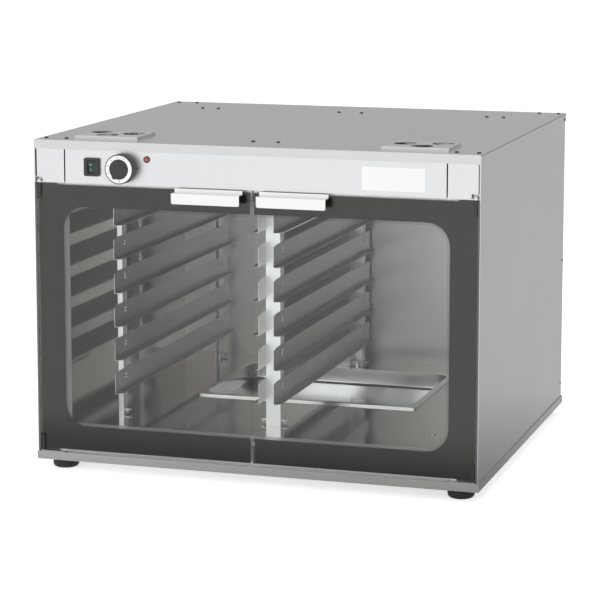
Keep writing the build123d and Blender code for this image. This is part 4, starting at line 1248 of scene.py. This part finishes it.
@dataclass
class Studio:
    """The plain floor, the soft light and the camera."""

    camera_spot: Point = (1.6433, -5.35535, 1.35821)
    camera_yaw: float = 17.35
    camera_dip: float = 8.405
    lens: float = 142.88
    lift: float = -0.13
    floor_size: float = 60.0
    floor_colour: Colour = (0.86, 0.86, 0.86)
    floor_glow: float = 0.62
    floor_mirrored: tuple[float, float] = (0.3, 0.66)
    mirrored_centre: Point = (0.6, -0.6, 0.0)
    mirrored_reach: tuple[float, float] = (0.35, 1.3)
    front_ramp: tuple[float, float] = (-1.0, -0.5)
    back_ramp: tuple[float, float] = (-0.2, 0.6)
    surround: float = 0.55
    front_mirrored: float = 1.3
    back_mirrored: float = 0.58

    def camera(self) -> None:
        """The camera at the photograph's angle."""
        data = bpy.data.cameras.new("camera")
        data.sensor_width = 36.0
        data.lens = self.lens
        data.shift_y = self.lift
        data.clip_end = 100.0
        camera = bpy.data.objects.new("camera", data)
        camera.location = self.camera_spot
        camera.rotation_euler = (
            math.radians(90.0 - self.camera_dip),
            0.0,
            math.radians(self.camera_yaw),
        )
        bpy.context.scene.collection.objects.link(camera)
        bpy.context.scene.camera = camera

    def floor(self) -> None:
        """A pale floor: white with a soft shadow to look at; in its mirrors a painted glow, dimmer near the
        cabinet and bright in front of it.
        """
        tree = Tree("studio_floor")
        path = tree.add("ShaderNodeLightPath")
        faint = tree.noise((0.7, 0.7, 0.7), 2.0)
        colour = tree.blend(faint, self.floor_colour, tuple(0.99 * c for c in self.floor_colour))
        matt = tree.add("ShaderNodeBsdfDiffuse")
        tree.feed(matt.inputs["Color"], colour)
        glow = tree.add("ShaderNodeEmission")
        tree.feed(glow.inputs["Strength"], tree.spread(path.outputs["Is Camera Ray"], 0.0, self.floor_glow))
        both = tree.add("ShaderNodeAddShader")
        tree.links.new(matt.outputs[0], both.inputs[0])
        tree.links.new(glow.outputs[0], both.inputs[1])
        # painted light and shade: what the metals reflect of the floor is this emission, dimmer near the
        # cabinet and bright in front of it, not the lit floor
        spot = tree.add("ShaderNodeNewGeometry").outputs["Position"]
        away = tree.add("ShaderNodeVectorMath", operation="DISTANCE")
        tree.links.new(spot, away.inputs[0])
        away.inputs[1].default_value = self.mirrored_centre
        near = tree.ramp(away.outputs["Value"], self.mirrored_reach, self.floor_mirrored)
        split = tree.add("ShaderNodeSeparateXYZ")
        tree.links.new(spot, split.inputs[0])
        front = tree.ramp(split.outputs["Y"], self.front_ramp, (self.front_mirrored, 0.0))
        shown = tree.add("ShaderNodeEmission")
        tree.feed(shown.inputs["Strength"], tree.maths("MAXIMUM", near, front))
        chosen = tree.add("ShaderNodeMixShader")
        tree.feed(chosen.inputs[0], path.outputs["Is Glossy Ray"])
        tree.links.new(both.outputs[0], chosen.inputs[1])
        tree.links.new(shown.outputs[0], chosen.inputs[2])
        tree.links.new(chosen.outputs[0], tree.output.inputs["Surface"])
        half = self.floor_size / 2
        data = bpy.data.meshes.new("studio_floor")
        corners = [(-half, -half, 0), (half, -half, 0), (half, half, 0), (-half, half, 0)]
        data.from_pydata(corners, [], [(0, 1, 2, 3)])
        data.materials.append(tree.material)
        plane = bpy.data.objects.new("studio_floor", data)
        bpy.context.scene.collection.objects.link(plane)

    def world(self) -> None:
        """A white surround for sight and a softer one for light."""
        tree = Tree("studio_world", world=True)
        path = tree.add("ShaderNodeLightPath").outputs
        split = tree.add("ShaderNodeSeparateXYZ")
        tree.links.new(tree.add("ShaderNodeTexCoord").outputs["Generated"], split.inputs[0])
        behind = tree.ramp(split.outputs["Y"], self.back_ramp, (self.front_mirrored, self.back_mirrored))
        lit = tree.ramp(path["Is Glossy Ray"], (0.0, 1.0), (self.surround, behind))
        through = tree.maths("MAXIMUM", path["Is Camera Ray"], path["Is Transmission Ray"])
        background = tree.add("ShaderNodeBackground")
        tree.feed(background.inputs["Strength"], tree.ramp(through, (0.0, 1.0), (lit, 1.0)))
        background.inputs["Color"].default_value = (1.0, 1.0, 1.0, 1.0)
        tree.links.new(background.outputs[0], tree.output.inputs["Surface"])
        bpy.context.scene.world = tree.material

    def softbox(self, name: str, spot: Point, target: Point, size: tuple[float, float], power: float) -> None:
        """One rectangular lamp.

        Args:
            name: its name.
            spot: where it stands.
            target: what it looks at.
            size: its width and height.
            power: its power in watts.
        """
        data = bpy.data.lights.new(name, "AREA")
        data.shape = "RECTANGLE"
        data.size, data.size_y = size
        data.energy = power
        lamp = bpy.data.objects.new(name, data)
        lamp.location = spot
        lamp.visible_glossy = False
        lamp.rotation_euler = (Vector(target) - Vector(spot)).to_track_quat("-Z", "Y").to_euler()
        bpy.context.scene.collection.objects.link(lamp)

    def build(self) -> None:
        """Builds the studio."""
        self.camera()
        self.world()
        self.floor()
        self.softbox("front_softbox", (-2.2, -4.6, 1.5), (0.0, -0.4, 0.4), (3.2, 2.6), 110.0)
        self.softbox("right_softbox", (3.2, -3.6, 2.6), (0.0, 0.0, 0.4), (1.6, 1.6), 20.0)
        self.softbox("top_softbox", (0.0, 0.5, 4.2), (0.0, 0.0, 0.0), (3.0, 3.0), 60.0)
        bpy.context.scene.view_settings.view_transform = "Standard"


def main() -> None:
    """Builds every sub-assembly in order."""
    logging.basicConfig(level=logging.INFO, format="%(name)s: %(message)s")
    finishes = Finishes()
    for kind in (Casing, Doors, Cavity, TrayRacks, Controls):
        kind(finishes).build()
        LOG.info("%s is done", kind.__name__)
    Studio().build()


if __name__ == "__main__":
    main()
